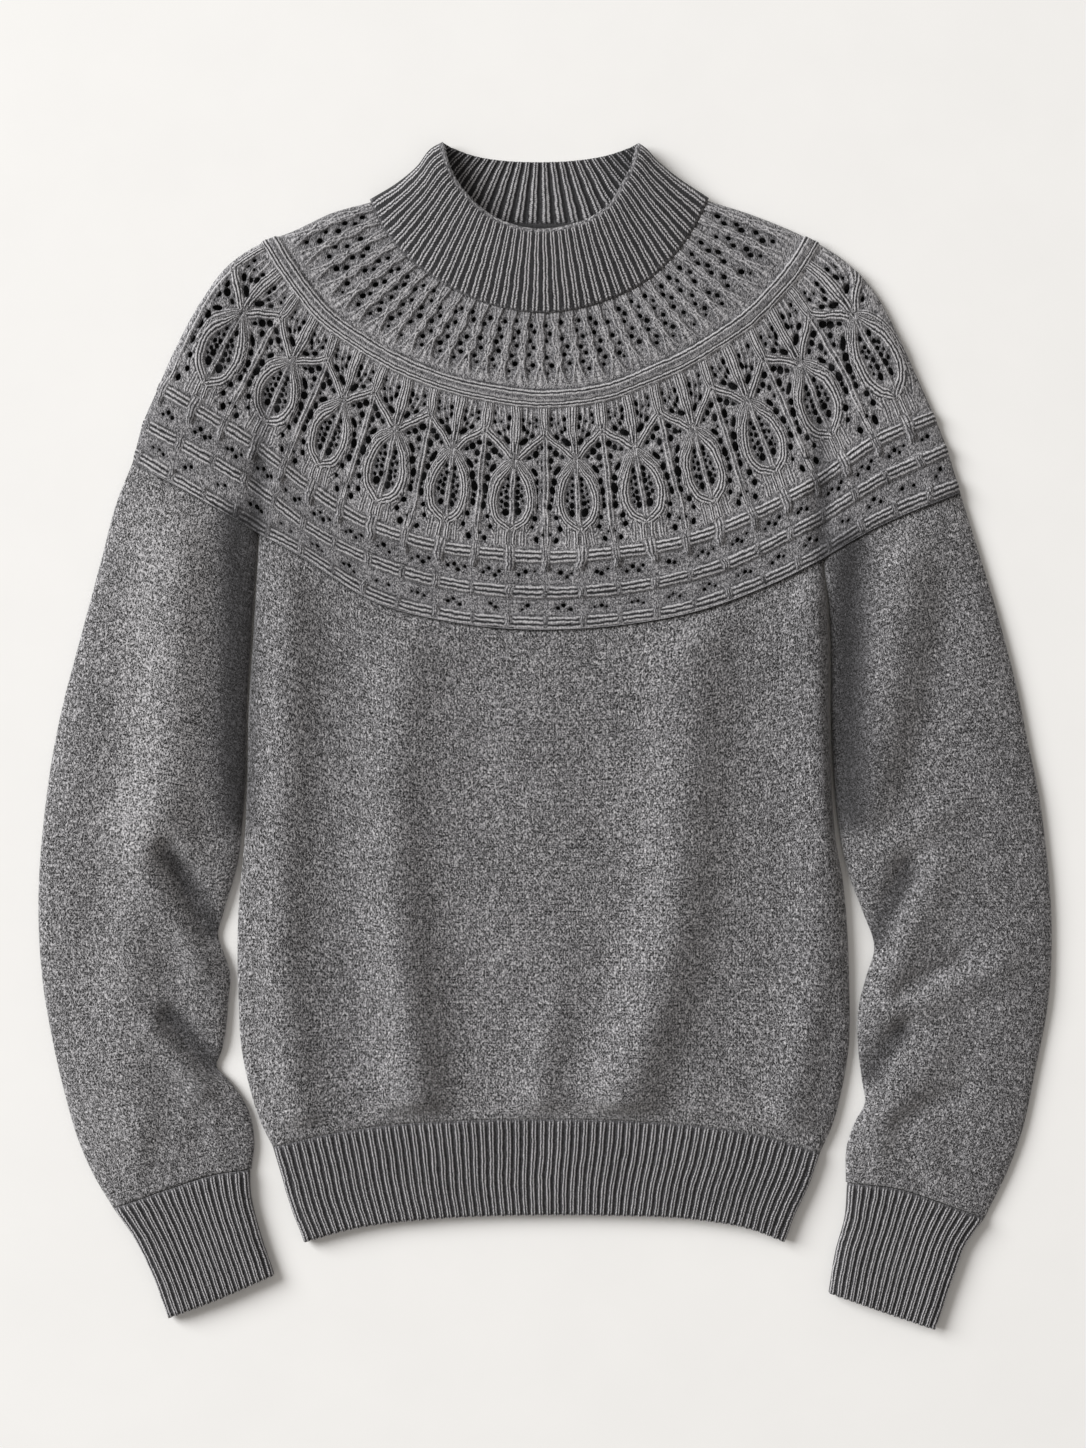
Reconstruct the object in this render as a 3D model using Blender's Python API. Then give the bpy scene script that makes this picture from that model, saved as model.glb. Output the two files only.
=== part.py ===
"""A pointelle-yoke sweater laid flat, face up.

Each cut piece of the real garment is one closed wall of knit: ribbed collar, lace yoke (front and back),
body (front and back), two sleeve tubes, hem rib and two cuffs. The underside lies on the ground at z = 0,
+Y runs from hem to neck, and the front faces +Z. Tables are in millimetres; the meshes are made in metres.
"""

import math

import bmesh
import bpy
import numpy as np
from mathutils import Vector
from mathutils.geometry import delaunay_2d_cdt

MM = 0.001

# Cloth
CLOTH = 3.0          # thickness of the knitted wall
SEAM_GAP = 0.3       # clearance between two pieces that meet at a seam
CREASE = 5.0         # height of the crease where the front layer turns into the back layer
LOWEST_TOP = 6.8     # lowest outer face of the front layer, just clear of the back layer
TURN_SHARES = (0.13, 0.5, 1.0)  # steps in from a crease, as shares of the turning radius
OUTER_SPACING = 1.2  # clearance between the points of a sheet's outer face
INNER_SPACING = 3.0  # the same on its inner face
BACK_SPACING = 1.0   # the same on a back sheet
SIDE_SHARES = (0.11, 0.22, 0.33, 0.44, 0.56, 0.67, 0.78, 0.89)  # steps along a side with a crease

# Heights of the front layer's outer face
BODY_TOP = 7.8
HEM_TOP = 8.2
SLEEVE_TOP = 9.9
SLEEVE_END_TOP = 9.2
CUFF_TOP = 8.8
COLLAR_SEAM_TOP = 9.6
COLLAR_EDGE_TOP = 19.0
COLLAR_SEAM_CREASE = 6.6
COLLAR_EDGE_CREASE = 8.5

# Turning radii seen from above, at the crease on each side of a piece
BODY_TURN = 8.0
HEM_TURN = 6.0
SLEEVE_OUTER_TURN = 30.0
SLEEVE_INNER_TURN = 22.0
CUFF_TURN = 9.0
COLLAR_TURN = 16.0
SHOULDER_TURN = 11.0

# Ribs and welts
RIB_RELIEF = 1.1
COLLAR_RIBS = 40
COLLAR_BACK_RIBS = 24
HEM_RIBS = 64
CUFF_RIBS = 17
WELT_WIDTH = 10.0
WELT_RELIEF = 1.9
COLUMN_RELIEF = 1.3
BAND_COLUMNS = 31
LACE_REPEATS = 12
LACE_SHIFT = 0.0065    # the lace's middle lies a little right of the yoke's
REPEAT_WIDTH = 47.6    # width and height of one lace repeat at its widest
REPEAT_HEIGHT = 99.4
HOLE_MARGIN = 5.0     # plain cloth kept between a hole and the shoulder's crease

# Places on the yoke, as levels down it: 0 at the collar, then a whole number at each welt
WELT_LEVELS = (1, 2, 3, 4)
WELT_SPACING = (108, 108, 25, 22)  # distance down the yoke from each welt to the level before it
LACE_FIRST, LACE_LAST = 1.047, 1.946  # levels between which the lace repeats lie
COLUMN_LEVELS = (0.10, 0.42, 0.72)    # places on each raised column of the upper band
PLAIN_LEVELS = (0.5, 0.95, 2.3, 3.1, 3.8)  # rows of points on the yoke's inner face
WELT_STATIONS = 37
YOKE_INSET = 0.03     # share of the yoke's width left plain beside each shoulder
YOKE_MIDDLE = -3.0    # x of the neck's middle
SLEEVE_RISE = (150, 245)  # distances from the neck's middle between which the yoke rises over a sleeve
NECK_RISE = (200, 300)    # y between which the yoke rises to the collar, at the neck's middle
NECK_SPREAD = 0.35        # how much further up this rise lies for each mm beside the middle
SHOULDER_SPAN = (340, 200)  # y between which the shoulder's turn widens to the sleeve's

# Outlines seen from above: x, y
COLLAR_SEAM = (
    (-122, 375), (-111, 353), (-93, 333), (-67, 315), (-39, 303), (-1, 297),
    (46, 307), (72, 320), (95, 343), (107, 362), (114, 376),
)
COLLAR_BACK_SEAM = ((-122, 375), (-62, 364), (-3.5, 360), (55, 364), (114, 376))
COLLAR_FRONT_EDGE = (
    (-71, 415), (-67, 400), (-60, 386), (-50, 374), (-36, 363), (-18, 356), (-4, 354),
    (13, 356), (31, 362), (45, 372), (53, 385), (60, 397), (66.5, 415),
)
COLLAR_BACK_EDGE = ((-71, 415), (-46, 407), (-29, 404.5), (-4, 403.5), (20, 404.5), (38, 407), (66.5, 415))
COLLAR_LEFT = ((-122, 375), (-101.5, 387.5), (-88, 399), (-79, 410.5), (-71, 415))
COLLAR_RIGHT = ((114, 376), (90, 392), (76, 403.5), (66.5, 415))

SHOULDER_LEFT = (
    (-122, 375), (-149, 367.5), (-178, 354), (-197, 347), (-223, 330), (-241, 306),
    (-260, 271), (-274, 239), (-281, 223), (-289.5, 192),
)
SHOULDER_RIGHT = (
    (114, 376), (145, 366), (183, 350), (203, 339), (228, 316), (248, 281),
    (262, 250), (276, 218), (282, 202), (291.5, 171),
)
UPPER_WELT = (
    (-192.5, 349), (-175, 321), (-154, 295), (-130, 277), (-91, 256), (-45, 242), (-3, 236.5),
    (45, 242), (80.5, 256), (108.5, 270), (145, 295), (170.5, 322), (187, 348),
)
FIRST_WELT = (
    (-271.6, 244), (-243.6, 228.5), (-218, 213), (-197, 200), (-171.5, 179), (-130, 152),
    (-90, 137), (-45, 129), (-3.5, 126), (60, 130), (108.5, 140), (145, 155), (193, 180),
    (232, 207), (273.7, 224),
)
SECOND_WELT = (
    (-281, 219), (-199, 172), (-165, 146), (-129.5, 127), (-60, 106), (-3.5, 101),
    (60, 105), (108.5, 115), (170, 141), (195, 155), (232, 178), (282, 200.5),
)
THIRD_WELT = (
    (-288, 197), (-200.5, 147), (-178, 135), (-115.5, 97.5), (-60, 84), (-3.5, 79.5),
    (55, 83), (108.5, 93), (160, 112), (194, 129), (232, 152), (290, 176.5),
)
YOKE_EDGE_SLEEVE_LEFT = ((-289.5, 192), (-245, 168), (-200.5, 142))
YOKE_EDGE_BODY = (
    (-200.5, 142), (-178, 130), (-115.5, 92.5), (-60, 79), (-3.5, 74.5),
    (55, 78), (108.5, 88), (160, 107), (194.2, 124),
)
YOKE_EDGE_SLEEVE_RIGHT = ((194.2, 124), (232, 146), (291.5, 171))

BODY_LEFT = (
    (-200.5, 142), (-203, 100), (-205, 67.5), (-208, 20), (-209, -30), (-211, -75), (-214, -106),
    (-215.6, -133), (-215, -186), (-213.5, -215), (-207, -247.5), (-199, -272), (-191, -288),
)
BODY_RIGHT = (
    (194.2, 124), (197.5, 95), (199.3, 60), (199.3, 19), (201, -29), (204, -72.5), (209, -101),
    (212, -133), (213.5, -173), (213, -219), (208.6, -246), (201.6, -273), (193, -292),
)
HEM_LINE = (
    (-191, -288), (-156, -279.5), (-115, -273), (-65, -269.5), (0, -268.2), (65, -269.7),
    (115, -273.7), (156, -280.5), (193, -292),
)
HEM_EDGE = (
    (-169, -354), (-135, -344.5), (-85, -338), (-21, -335), (42, -335), (106, -338),
    (145, -345), (168.5, -354),
)
HEM_LEFT = ((-191, -288), (-185, -308), (-178, -331), (-169, -354))
HEM_RIGHT = ((193, -292), (185.5, -313), (176, -334), (168.5, -354))

SLEEVE_LEFT_OUTER = (
    (-289.5, 192), (-300, 166), (-311.5, 123.5), (-326.5, 67.5), (-337, 28), (-345, -9.5),
    (-351, -51.5), (-355.6, -117), (-352, -177), (-346.5, -209), (-337, -251), (-327.6, -283),
    (-318, -305.5), (-303, -331),
)
SLEEVE_LEFT_INNER = (
    (-201.5, 142.6), (-204.2, 100), (-206.2, 67.5), (-209.2, 20), (-210.6, -30), (-214, -62),
    (-216, -86.5), (-226, -125), (-229.5, -139), (-225, -153), (-221, -165.5), (-222, -183),
    (-227, -221), (-230.5, -231), (-222, -241), (-209, -260), (-204, -283), (-206, -303.5),
)
SLEEVE_RIGHT_INNER = (
    (195.3, 124.4), (198.7, 95), (200.5, 60), (200.6, 19), (202.3, -29), (206.8, -69),
    (212.8, -96), (222.6, -122), (231, -149.5), (225.5, -168), (220, -190), (219.5, -216),
    (222.6, -242.5), (224.5, -257), (217.7, -270), (212, -286), (211, -312.5),
)
SLEEVE_RIGHT_OUTER = (
    (291.5, 171), (322.7, 67.5), (332, 30.5), (339, -4.5), (346, -37), (351, -72.5), (355.6, -133),
    (354, -180), (344, -235), (333, -283), (325, -304), (308.5, -338),
)
CUFF_LEFT_LINE = ((-300, -332.5), (-263, -317), (-226, -306), (-207, -304))
CUFF_LEFT_EDGE = ((-264.6, -407.5), (-228, -393.5), (-190, -377))
CUFF_LEFT_OUTER = ((-300, -332.5), (-287, -354), (-274, -381), (-264.6, -407.5))
CUFF_LEFT_INNER = ((-207, -304), (-206.5, -319.5), (-200, -347), (-190, -377))
CUFF_RIGHT_LINE = ((212, -313), (251, -318), (273.7, -325.5), (306.6, -339.5))
CUFF_RIGHT_EDGE = ((199, -389.5), (236, -402.5), (274, -415.4))
CUFF_RIGHT_INNER = ((212, -313), (210, -338), (204, -360), (199, -389.5))
CUFF_RIGHT_OUTER = ((306.6, -339.5), (295, -357), (286.6, -379), (274, -415.4))

# Largest folds of each piece: path of the crest or trough, half width, height
BODY_FOLDS = (
    (((-98, 67), (-104, 0), (-107, -65), (-101, -149), (-91, -250)), 21, 5.0),
    (((103, 82), (98, -27), (89, -125), (74, -195), (54, -252)), 24, 5.0),
    (((-180, 128), (-184, -60), (-186, -200)), 17, 3.6),
    (((184, 108), (194, -80), (196, -200)), 17, 3.4),
    (((5, -225), (4, -262)), 10, 1.4),
)
SLEEVE_LEFT_FOLDS = (
    (((-254, 160), (-260, 60), (-264, -20), (-266, -70)), 24, 4.4),
    (((-266, -76), (-246, -112), (-230, -139)), 8, -5.6),
    (((-279, -88), (-258, -120), (-242, -152)), 9, 2.4),
    (((-262, -196), (-243, -216), (-230, -231)), 8, -5.2),
    (((-272, -208), (-240, -245)), 9, 2.2),
    (((-293, -70), (-276, -40)), 16, 2.0),
    (((-305, -185), (-290, -165)), 18, 1.8),
)
SLEEVE_RIGHT_FOLDS = (
    (((250, 150), (248, 90), (238, 20), (226, -42)), 22, 4.2),
    (((228, -100), (254, -96), (248, -114), (234, -138), (228, -148)), 7, -4.6),
    (((238, -82), (290, -46)), 11, 2.2),
    (((276, -84), (262, -118), (246, -150), (234, -190)), 11, 2.8),
    (((250, -178), (290, -158)), 9, -3.6),
    (((252, -192), (318, -162)), 12, 2.0),
    (((226, -218), (250, -204)), 7, -4.4),
    (((274, -210), (252, -244), (230, -272)), 10, 2.6),
    (((250, -270), (292, -248)), 9, -2.6),
)
# The valley that starts in the yoke between the body and each sleeve: path, half width, height
YOKE_FOLDS = (
    (((-200.5, 142), (-200, 185)), 9, -3.4),
    (((-200, 185), (-199, 235)), 10, -1.6),
    (((194.2, 124), (195, 170)), 9, -3.4),
    (((195, 170), (194, 225)), 10, -1.6),
)

# Holes of one lace repeat, on each side of its bulb: distance from the bulb's line, distance down
# from the repeat's top, length, width, degrees by which the length leans from level
LACE_HOLES = (
    (6.7, 25.3, 8.2, 4.1, -38),
    (12.6, 22.0, 6.0, 3.5, -35),
    (19.7, 29.8, 5.2, 4.0, -15),
    (15.2, 33.6, 4.8, 4.2, -30),
    (19.3, 38.2, 4.6, 4.0, 90),
    (15.4, 46.0, 7.4, 3.5, 55),
    (18.0, 53.6, 5.0, 4.2, 90),
    (19.5, 60.4, 6.3, 4.2, 90),
    (20.0, 71.0, 5.3, 3.3, 90),
    (4.2, 74.9, 5.3, 4.3, 90),
)
# Crest of the raised bulb on each side: share of the repeat, share of the lace band
BULB_CREST = ((0.03, 0.47), (0.16, 0.53), (0.27, 0.66), (0.24, 0.77), (0.10, 0.86), (0.01, 0.93))
STEM_SHARES = (0.05, 0.18, 0.32, 0.46, 0.60, 0.74, 0.88)

# Ends of the sleeves
SLEEVE_LEFT_YOKE = ((-289.5, 192), (-245, 168), (-201.5, 142.6))
SLEEVE_LEFT_CUFF = ((-303, -331), (-263, -316.5), (-226, -305.5), (-206, -303.5))
SLEEVE_RIGHT_YOKE = ((195.3, 124.4), (232, 146), (291.5, 171))
SLEEVE_RIGHT_CUFF = ((211, -312.5), (251, -317.5), (273.7, -325), (308.5, -338))
# Points in the valleys of the yoke's inner face
YOKE_VALLEY_POINTS = ((-200, 150), (-200, 170), (-200, 195), (195, 135), (195, 160), (195, 190))

# Colours of the heathered yarn, as red, green and blue
BODY_GREY = (0.155, 0.150, 0.155)
RIB_GREY = (0.115, 0.112, 0.118)


def smooth_path(points, per_span=10):
    """A dense line of points on a smooth curve through a table's points."""
    table = np.array(points, float)
    run = np.concatenate([[0], np.cumsum(np.linalg.norm(np.diff(table, axis=0), axis=1))])
    slope = np.gradient(table, run, axis=0)
    t = np.linspace(0, 1, per_span, endpoint=False)[:, None]
    spans = []
    for a, b, slope_a, slope_b, length in zip(table, table[1:], slope, slope[1:], np.diff(run)):
        spans.append(
            (2 * t**3 - 3 * t**2 + 1) * a
            + (t**3 - 2 * t**2 + t) * length * slope_a
            + (3 * t**2 - 2 * t**3) * b
            + (t**3 - t**2) * length * slope_b
        )
    return np.vstack(spans + [table[-1:]])


def at(path, share):
    """Points at shares of a path's length."""
    run = np.concatenate([[0], np.cumsum(np.linalg.norm(np.diff(path, axis=0), axis=1))])
    place = np.asarray(share, float) * run[-1]
    return np.stack([np.interp(place, run, path[:, 0]), np.interp(place, run, path[:, 1])], axis=-1)


def distance(path, plan):
    """Distance in plan from each point to a path."""
    plan = np.asarray(plan, float)
    best = np.full(plan.shape[:-1], np.inf)
    for a, b in zip(path, path[1:]):
        step = b - a
        share = np.clip(((plan - a) @ step) / max(step @ step, 1e-9), 0, 1)
        best = np.minimum(best, np.linalg.norm(plan - (a + share[..., None] * step), axis=-1))
    return best


def fold_height(folds, plan):
    """Sum of the soft ridges and troughs of a fold table at points in plan."""
    total = np.zeros(np.asarray(plan).shape[:-1])
    for path, half_width, height in folds:
        away = distance(np.array(path, float), plan)
        total += height * np.exp(-((away / half_width) ** 2))
    return total


def ease(value, start, end):
    """0 before start, 1 after end, with a soft step between."""
    share = np.clip((np.asarray(value, float) - start) / (end - start), 0, 1)
    return share * share * (3 - 2 * share)


class Patch:
    """A four-sided area in plan: s runs from its left side to its right, v from its first row to its last."""

    def __init__(self, first, last, left, right):
        self.first, self.last, self.left, self.right = (smooth_path(p) for p in (first, last, left, right))

    def plan(self, s, v):
        s, v = np.broadcast_arrays(np.asarray(s, float), np.asarray(v, float))
        along_first, along_last = at(self.first, s), at(self.last, s)
        down_left, down_right = at(self.left, v), at(self.right, v)
        s, v = s[..., None], v[..., None]
        corners = (1 - v) * ((1 - s) * self.first[0] + s * self.first[-1])
        corners = corners + v * ((1 - s) * self.last[0] + s * self.last[-1])
        return (1 - v) * along_first + v * along_last + (1 - s) * down_left + s * down_right - corners

    def rows(self, shares):
        """Rows at shares of the patch, drawn in at both ends by half the clearance of a seam."""
        length = np.linalg.norm(at(self.last, 0.5) - at(self.first, 0.5))
        trim = 0.5 * SEAM_GAP / length
        return trim + np.asarray(shares, float) * (1 - 2 * trim)

    def span(self, v):
        """Straight width of a row."""
        return np.linalg.norm(at(self.right, v) - at(self.left, v), axis=-1)

    def across(self, s, v):
        """Direction of a row at a point of it."""
        step = self.plan(np.clip(s + 0.004, 0, 1), v) - self.plan(np.clip(s - 0.004, 0, 1), v)
        return step / np.linalg.norm(step, axis=-1)[..., None]


def stations(patch, turns, inner_steps):
    """Shares across a patch: close together where the cloth turns over, even between."""
    width = patch.span(0.5)
    left = [turns[0] * (1 - math.cos(math.radians(a))) / width for a in (0, 30, 60, 90)]
    right = [1 - turns[1] * (1 - math.cos(math.radians(a))) / width for a in (90, 60, 30, 0)]
    middle = np.linspace(left[-1], right[0], inner_steps + 1)[1:-1]
    return np.concatenate([left, middle, right])


def layer(patch, s, v, turns, rim, height, relief=0.0):
    """Outer and inner points of one layer of cloth, which turns over at its two side creases.

    rim is the height of the creases, and height that of the layer's outer face, 0 for a back layer."""
    s, v = np.broadcast_arrays(np.asarray(s, float), np.asarray(v, float))
    plan = patch.plan(s, v)
    width, across = patch.span(v), patch.across(s, v)
    share = np.minimum(np.minimum(s * width / turns[0], (1 - s) * width / turns[1]), 1)
    turned_in, turned_up = 1 - share, np.sqrt(1 - (1 - share) ** 2)
    facing = np.where(np.asarray(height) > rim, 1.0, -1.0)
    side = np.where(s < 0.5, -1.0, 1.0)
    sideways, upwards = (side * turned_in)[..., None] * across, (facing * turned_up)[..., None]
    normal = np.concatenate([sideways, upwards], axis=-1)
    level = rim + (height - rim) * turned_up
    base = np.concatenate([plan, level[..., None]], axis=-1)
    outer = base.copy()
    outer[..., 2] += facing * relief * turned_up
    return outer, base - CLOTH * normal


def add_object(name, vertices, faces, colour):
    """A mesh object in metres with its own knit material."""
    mesh = bpy.data.meshes.new(name)
    mesh.from_pydata([Vector(p) * MM for p in vertices], [], faces)
    work = bmesh.new()
    work.from_mesh(mesh)
    bmesh.ops.recalc_face_normals(work, faces=work.faces)
    bmesh.ops.triangulate(work, faces=work.faces)
    work.to_mesh(mesh)
    work.free()
    mesh.shade_smooth()
    mesh.set_sharp_from_angle(angle=math.radians(50))
    material = bpy.data.materials.new(name + "_knit")
    material.use_nodes = True
    shader = material.node_tree.nodes["Principled BSDF"]
    shader.inputs["Base Color"].default_value = (*colour, 1)
    shader.inputs["Roughness"].default_value = 0.95
    shader.inputs["Metallic"].default_value = 0.0
    mesh.materials.append(material)
    thing = bpy.data.objects.new(name, mesh)
    bpy.context.scene.collection.objects.link(thing)
    return thing


def add_wall(name, outer, inner, colour, ring=False):
    """A closed wall between two grids of points, [row, station]; a ring closes on itself across its rows."""
    rows, columns = outer.shape[:2]
    count = rows * columns
    vertices = np.concatenate([outer.reshape(-1, 3), inner.reshape(-1, 3)])
    faces = []
    for i in range(rows - 1):
        for j in range(columns if ring else columns - 1):
            a, b = i * columns + j, i * columns + (j + 1) % columns
            c, d = b + columns, a + columns
            faces.append((a, b, c, d))
            faces.append((count + d, count + c, count + b, count + a))
    for i in (0, rows - 1):
        for j in range(columns if ring else columns - 1):
            a, b = i * columns + j, i * columns + (j + 1) % columns
            faces.append((a, count + a, count + b, b) if i == 0 else (b, count + b, count + a, a))
    if not ring:
        for j in (0, columns - 1):
            for i in range(rows - 1):
                a, b = i * columns + j, (i + 1) * columns + j
                faces.append((b, count + b, count + a, a) if j == 0 else (a, count + a, count + b, b))
    return add_object(name, vertices, faces, colour)


def tube(name, front, back, v, s_front, s_back, turns, rims, front_height, reliefs, colour):
    """A flattened tube: a front layer from left to right, and a back layer from right to left."""
    v = front.rows(v)[:, None]
    rim = rims[0] + (rims[1] - rims[0]) * v
    height = front_height(front.plan(s_front, v), v)
    outer_front, inner_front = layer(front, s_front[None, :], v, turns, rim, height, reliefs[0])
    outer_back, inner_back = layer(back, s_back[None, ::-1], v, turns, rim, 0 * rim, 0.0)
    inner_front[:, 0], inner_front[:, -1] = inner_back[:, -1].copy(), inner_back[:, 0].copy()
    inner_back[..., 2] += reliefs[1][::-1]
    outer = np.concatenate([outer_front, outer_back[:, 1:-1]], axis=1)
    inner = np.concatenate([inner_front, inner_back[:, 1:-1]], axis=1)
    return add_wall(name, outer, inner, colour, ring=True)


def rib_stations(count):
    """Shares across a ribbed piece, furrow and crest in turn, and the relief at each."""
    s = np.linspace(0, 1, 2 * count + 1)
    return s, np.where(np.arange(2 * count + 1) % 2 == 1, RIB_RELIEF, 0.0)


def shifted(points, by):
    """A row moved along +Y, for the clearance at a seam."""
    return tuple((x, y + by) for x, y in points)


def make_collar():
    front = Patch(COLLAR_SEAM, COLLAR_FRONT_EDGE, COLLAR_LEFT, COLLAR_RIGHT)
    back = Patch(COLLAR_BACK_SEAM, COLLAR_BACK_EDGE, COLLAR_LEFT, COLLAR_RIGHT)
    s_front, relief = rib_stations(COLLAR_RIBS)
    s_back, back_relief = rib_stations(COLLAR_BACK_RIBS)
    tube(
        "collar", front, back, (0, 0.45, 1), s_front, s_back, (COLLAR_TURN, COLLAR_TURN),
        (COLLAR_SEAM_CREASE, COLLAR_EDGE_CREASE),
        lambda plan, v: COLLAR_SEAM_TOP + (COLLAR_EDGE_TOP - COLLAR_SEAM_TOP) * v**0.8 + 0 * plan[..., 0],
        (relief, back_relief), RIB_GREY,
    )


def yoke_levels():
    """The yoke's level lines, from the collar's seam to its lower edge."""
    lines = [smooth_path(line) for line in (COLLAR_SEAM, UPPER_WELT, FIRST_WELT, SECOND_WELT, THIRD_WELT)]
    edges = (YOKE_EDGE_SLEEVE_LEFT, YOKE_EDGE_BODY, YOKE_EDGE_SLEEVE_RIGHT)
    lines.append(np.vstack([smooth_path(edge) for edge in edges]))
    lines[0][:, 1] -= SEAM_GAP / 2
    lines[-1][:, 1] += SEAM_GAP / 2
    return lines


def yoke_edge_points(steps):
    """Points along the yoke's lower edge, with one at each armpit: a sleeve, the body, the other sleeve."""
    edges = (YOKE_EDGE_SLEEVE_LEFT, YOKE_EDGE_BODY, YOKE_EDGE_SLEEVE_RIGHT)
    rows = [at(smooth_path(edge), np.linspace(0, 1, count + 1))[:-1] for edge, count in zip(edges, steps)]
    rows.append(np.array(edges[-1][-1:], float))
    return np.vstack(rows) + (0, SEAM_GAP / 2)


LEVELS = yoke_levels()
LEVEL_AT = (0.0, 1.0, 2.0, 3.0, 4.0, 4.25)


def yoke_plan(s, v):
    """Place in plan of a point of the yoke: s across it, v down it, a whole number at each level line."""
    s, v = np.broadcast_arrays(np.asarray(s, float), np.asarray(v, float))
    lines = np.stack([at(line, s) for line in LEVELS])
    index = np.clip(np.searchsorted(LEVEL_AT, v, side="right") - 1, 0, len(LEVELS) - 2)
    low, high = np.take(LEVEL_AT, index), np.take(LEVEL_AT, index + 1)
    share = ((v - low) / (high - low))[..., None]
    pick = np.indices(s.shape)
    return (1 - share) * lines[(index, *pick)] + share * lines[(index + 1, *pick)]


def yoke_height(plan):
    """Height of the yoke's outer face before it turns over at the shoulders."""
    x, y = plan[..., 0], plan[..., 1]
    beside = np.abs(x - YOKE_MIDDLE)
    over_sleeve = (SLEEVE_TOP - BODY_TOP) * ease(beside, *SLEEVE_RISE)
    at_collar = (COLLAR_SEAM_TOP - BODY_TOP) * ease(y - NECK_SPREAD * beside, *NECK_RISE)
    height = BODY_TOP + np.maximum(over_sleeve, at_collar) + fold_height(YOKE_FOLDS, plan)
    return np.maximum(height, LOWEST_TOP)


def yoke_turn(plan):
    """Turning radius at the yoke's outer crease: tight on the shoulder, wide on the sleeve."""
    high, low = SHOULDER_SPAN
    return SHOULDER_TURN + (SLEEVE_OUTER_TURN - SHOULDER_TURN) * ease(high - plan[..., 1], 0, high - low)


def lace_place(repeat, across, down):
    """Share across the yoke and level of a point of one lace repeat, between the upper and first welts."""
    place = (repeat + 0.5 + across) / LACE_REPEATS + LACE_SHIFT
    return place, LACE_FIRST + down * (LACE_LAST - LACE_FIRST)


def hole_loops():
    """The corners in plan of each lace hole."""
    loops = []
    for repeat in range(LACE_REPEATS):
        for x, y, length, width, lean in LACE_HOLES:
            way = np.array([math.cos(math.radians(lean)), math.sin(math.radians(lean))])
            along, beside = way * length / 2, way[::-1] * (1, -1) * width / 2
            corners = np.array([x, y]) + (along, beside, -along, -beside)
            across, down = corners[:, 0] / REPEAT_WIDTH, corners[:, 1] / REPEAT_HEIGHT
            for mirror in (-1, 1):
                loops.append(yoke_plan(*lace_place(repeat, mirror * across, down)))
    return loops


def yoke_points():
    """Points of the yoke's outer face away from its outline, and the relief at each."""
    rows = []

    def add(s, v, relief):
        plan = yoke_plan(s, v).reshape(-1, 2)
        rows.append(np.column_stack([plan, np.full(len(plan), relief)]))

    across = np.linspace(YOKE_INSET, 1 - YOKE_INSET, WELT_STATIONS)
    for level, above, below in zip(WELT_LEVELS, WELT_SPACING, (*WELT_SPACING[1:], None)):
        half = WELT_WIDTH / 2
        add(across, level - half / above, 0.0)
        add(across, level, WELT_RELIEF)
        if below:
            add(across, level + half / below, 0.0)
    crests = (np.arange(1, BAND_COLUMNS - 1) + 0.5) / BAND_COLUMNS
    furrows = np.arange(2, BAND_COLUMNS - 1) / BAND_COLUMNS
    for v in COLUMN_LEVELS:
        add(crests, v, COLUMN_RELIEF)
        add(furrows, v, 0.0)
    for repeat in range(LACE_REPEATS):
        for mirror in (-1, 1):
            for bulb_across, down in BULB_CREST:
                add(*lace_place(repeat, mirror * bulb_across, down), COLUMN_RELIEF)
        if repeat:
            for down in STEM_SHARES:
                add(*lace_place(repeat, -0.5, down), COLUMN_RELIEF)
    return np.vstack(rows)


def inside(polygon, plan):
    """Whether each point in plan lies inside a polygon."""
    x, y = plan[:, 0], plan[:, 1]
    result = np.zeros(len(plan), bool)
    for (ax, ay), (bx, by) in zip(polygon, np.roll(polygon, -1, axis=0)):
        crossing = (ay > y) != (by > y)
        reach = ax + (y - ay) * (bx - ax) / np.where(by == ay, 1e-9, by - ay)
        result ^= crossing & (x < reach)
    return result


def triangles(outline, holes, extra):
    """Triangles of a flat sheet with holes, whose points are the outline's, the holes' and the extra ones."""
    points = np.vstack([outline, *holes, extra])
    edges, owner, start = [], np.full(len(points), -1), 0
    for number, loop in enumerate([outline, *holes]):
        size = len(loop)
        edges += [(start + k, start + (k + 1) % size) for k in range(size)]
        owner[start:start + size] = number
        start += size
    made = delaunay_2d_cdt([Vector(p) for p in points], edges, [], 0, 1e-6)
    place = {new: old[0] for new, old in enumerate(made[3]) if old}
    faces = np.array([[place[i] for i in face] for face in made[2]])
    middle = points[faces].mean(axis=1)
    in_hole = (owner[faces[:, 0]] > 0) & (owner[faces] == owner[faces[:, :1]]).all(axis=1)
    return faces[inside(outline, middle) & ~in_hole], start


def sheet_outline(first, last, left, right):
    """A closed outline, the same drawn in by the wall at its two sides, and which points are on those sides.

    first and last run from left to right; left and right run from first to last, without the corners."""
    outline = np.vstack([first, right, last[::-1], left[::-1]])
    ends = np.cumsum([len(first), len(right), len(last)])
    on_side = np.zeros(len(outline), bool)
    on_side[ends[0]:ends[1]] = True
    on_side[ends[2]:] = True
    tangent = np.roll(outline, -1, axis=0) - np.roll(outline, 1, axis=0)
    inward = np.column_stack([tangent[:, 1], -tangent[:, 0]]) / np.linalg.norm(tangent, axis=1)[:, None]
    inner = outline + CLOTH * inward * on_side[:, None]
    top, side, low = ends
    for corner, beside in ((0, 1), (top - 1, top - 2), (side, side + 1), (low - 1, low - 2)):
        way = outline[beside] - outline[corner]
        inner[corner] = outline[corner] + CLOTH * way / np.linalg.norm(way)
        on_side[corner] = True
    return outline, inner, on_side


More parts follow.
